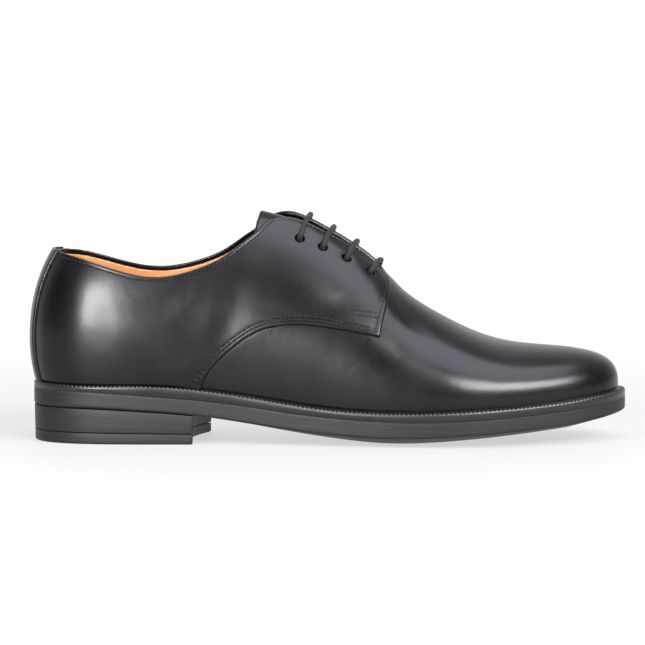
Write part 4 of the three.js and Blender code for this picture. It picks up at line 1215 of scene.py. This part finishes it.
def build_floor():
    """Pale floor that glows a little more away from the shoe, so it has no horizon."""
    mesh = bpy.data.meshes.new("floor")
    size = 6.0
    corners = [(-size, -size, 0), (size, -size, 0), (size, size, 0), (-size, size, 0)]
    mesh.from_pydata(corners, [], [(0, 1, 2, 3)])
    floor = bpy.data.objects.new("floor", mesh)
    bpy.context.scene.collection.objects.link(floor)
    material, tree, shader, where = new_material("pale_floor")
    shader.inputs["Base Color"].default_value = (0.12, 0.12, 0.12, 1)
    shader.inputs["Roughness"].default_value = 0.6
    shader.inputs["Specular IOR Level"].default_value = 0.1
    shader.inputs["Emission Color"].default_value = (1, 1, 1, 1)
    away = tree.nodes.new("ShaderNodeVectorMath")
    away.operation = "LENGTH"
    tree.links.new(where, away.inputs[0])
    glow = ramp(tree, away.outputs["Value"], 0.60, 0.98, 0.2, 1.0)
    tree.links.new(glow, shader.inputs["Emission Strength"])
    mesh.materials.append(material)


def add_light(name, place, target, size, power, colour=(1.0, 1.0, 1.0)):
    """A soft box of the given width and height, turned to its target."""
    data = bpy.data.lights.new(name, "AREA")
    data.shape = "RECTANGLE"
    data.size, data.size_y = size
    data.energy = power
    data.color = colour
    light = bpy.data.objects.new(name, data)
    light.location = place
    light.rotation_euler = (Vector(target) - Vector(place)).to_track_quat("-Z", "Y").to_euler()
    bpy.context.scene.collection.objects.link(light)


# The camera: focal length and frame in pixels, degrees above level, distance in metres, and the point
# it looks at, in millimetres as the tables count them.
FOCAL_PIXELS = 3893.0
PHOTO_WIDTH = 645
SENSOR_WIDTH = 36.0
CAMERA_LIFT = 4.5
CAMERA_DISTANCE = 2.0
VIEW_MIDDLE = (148.2, 0.0, 59.6)


def set_camera():
    """The photograph's view: square to the lateral side, from a little above."""
    data = bpy.data.cameras.new("photo_view")
    data.sensor_width = SENSOR_WIDTH
    data.lens = FOCAL_PIXELS / PHOTO_WIDTH * SENSOR_WIDTH
    data.clip_end = 50
    camera = bpy.data.objects.new("photo_view", data)
    lift = math.radians(CAMERA_LIFT)
    target = Vector(placed(VIEW_MIDDLE))
    camera.location = target + Vector((0, -math.cos(lift), math.sin(lift))) * CAMERA_DISTANCE
    camera.rotation_euler = (math.pi / 2 - lift, 0, 0)
    bpy.context.scene.collection.objects.link(camera)
    bpy.context.scene.camera = camera


def set_light():
    """A white backdrop behind, a dimmer room in front, and three soft boxes."""
    world = bpy.data.worlds.new("studio")
    bpy.context.scene.world = world
    world.use_nodes = True
    tree = world.node_tree
    way = tree.nodes.new("ShaderNodeTexCoord").outputs["Generated"]
    apart = add_node(tree, "ShaderNodeSeparateXYZ", Vector=way)
    glow = add_node(tree, "ShaderNodeMapRange", Value=apart.outputs["Y"], From_Min=-0.2, From_Max=0.9,
                    To_Min=0.05, To_Max=1.0)
    tree.links.new(glow.outputs["Result"], tree.nodes["Background"].inputs["Strength"])
    tree.nodes["Background"].inputs["Color"].default_value = (1, 1, 1, 1)
    add_light("left_box", (-0.275, -0.50, 0.155), (-0.11, 0, 0.08), (0.14, 0.14), 3.8)
    add_light("right_box", (0.74, -1.00, 0.72), (0.10, 0, 0.04), (1.05, 0.434), 46)
    add_light("top_box", (0.15, -0.45, 1.35), (0, 0, 0.05), (1.69, 1.014), 33, (0.86, 0.86, 1.0))
    bpy.context.scene.view_settings.view_transform = "Standard"


build_floor()
set_light()
set_camera()
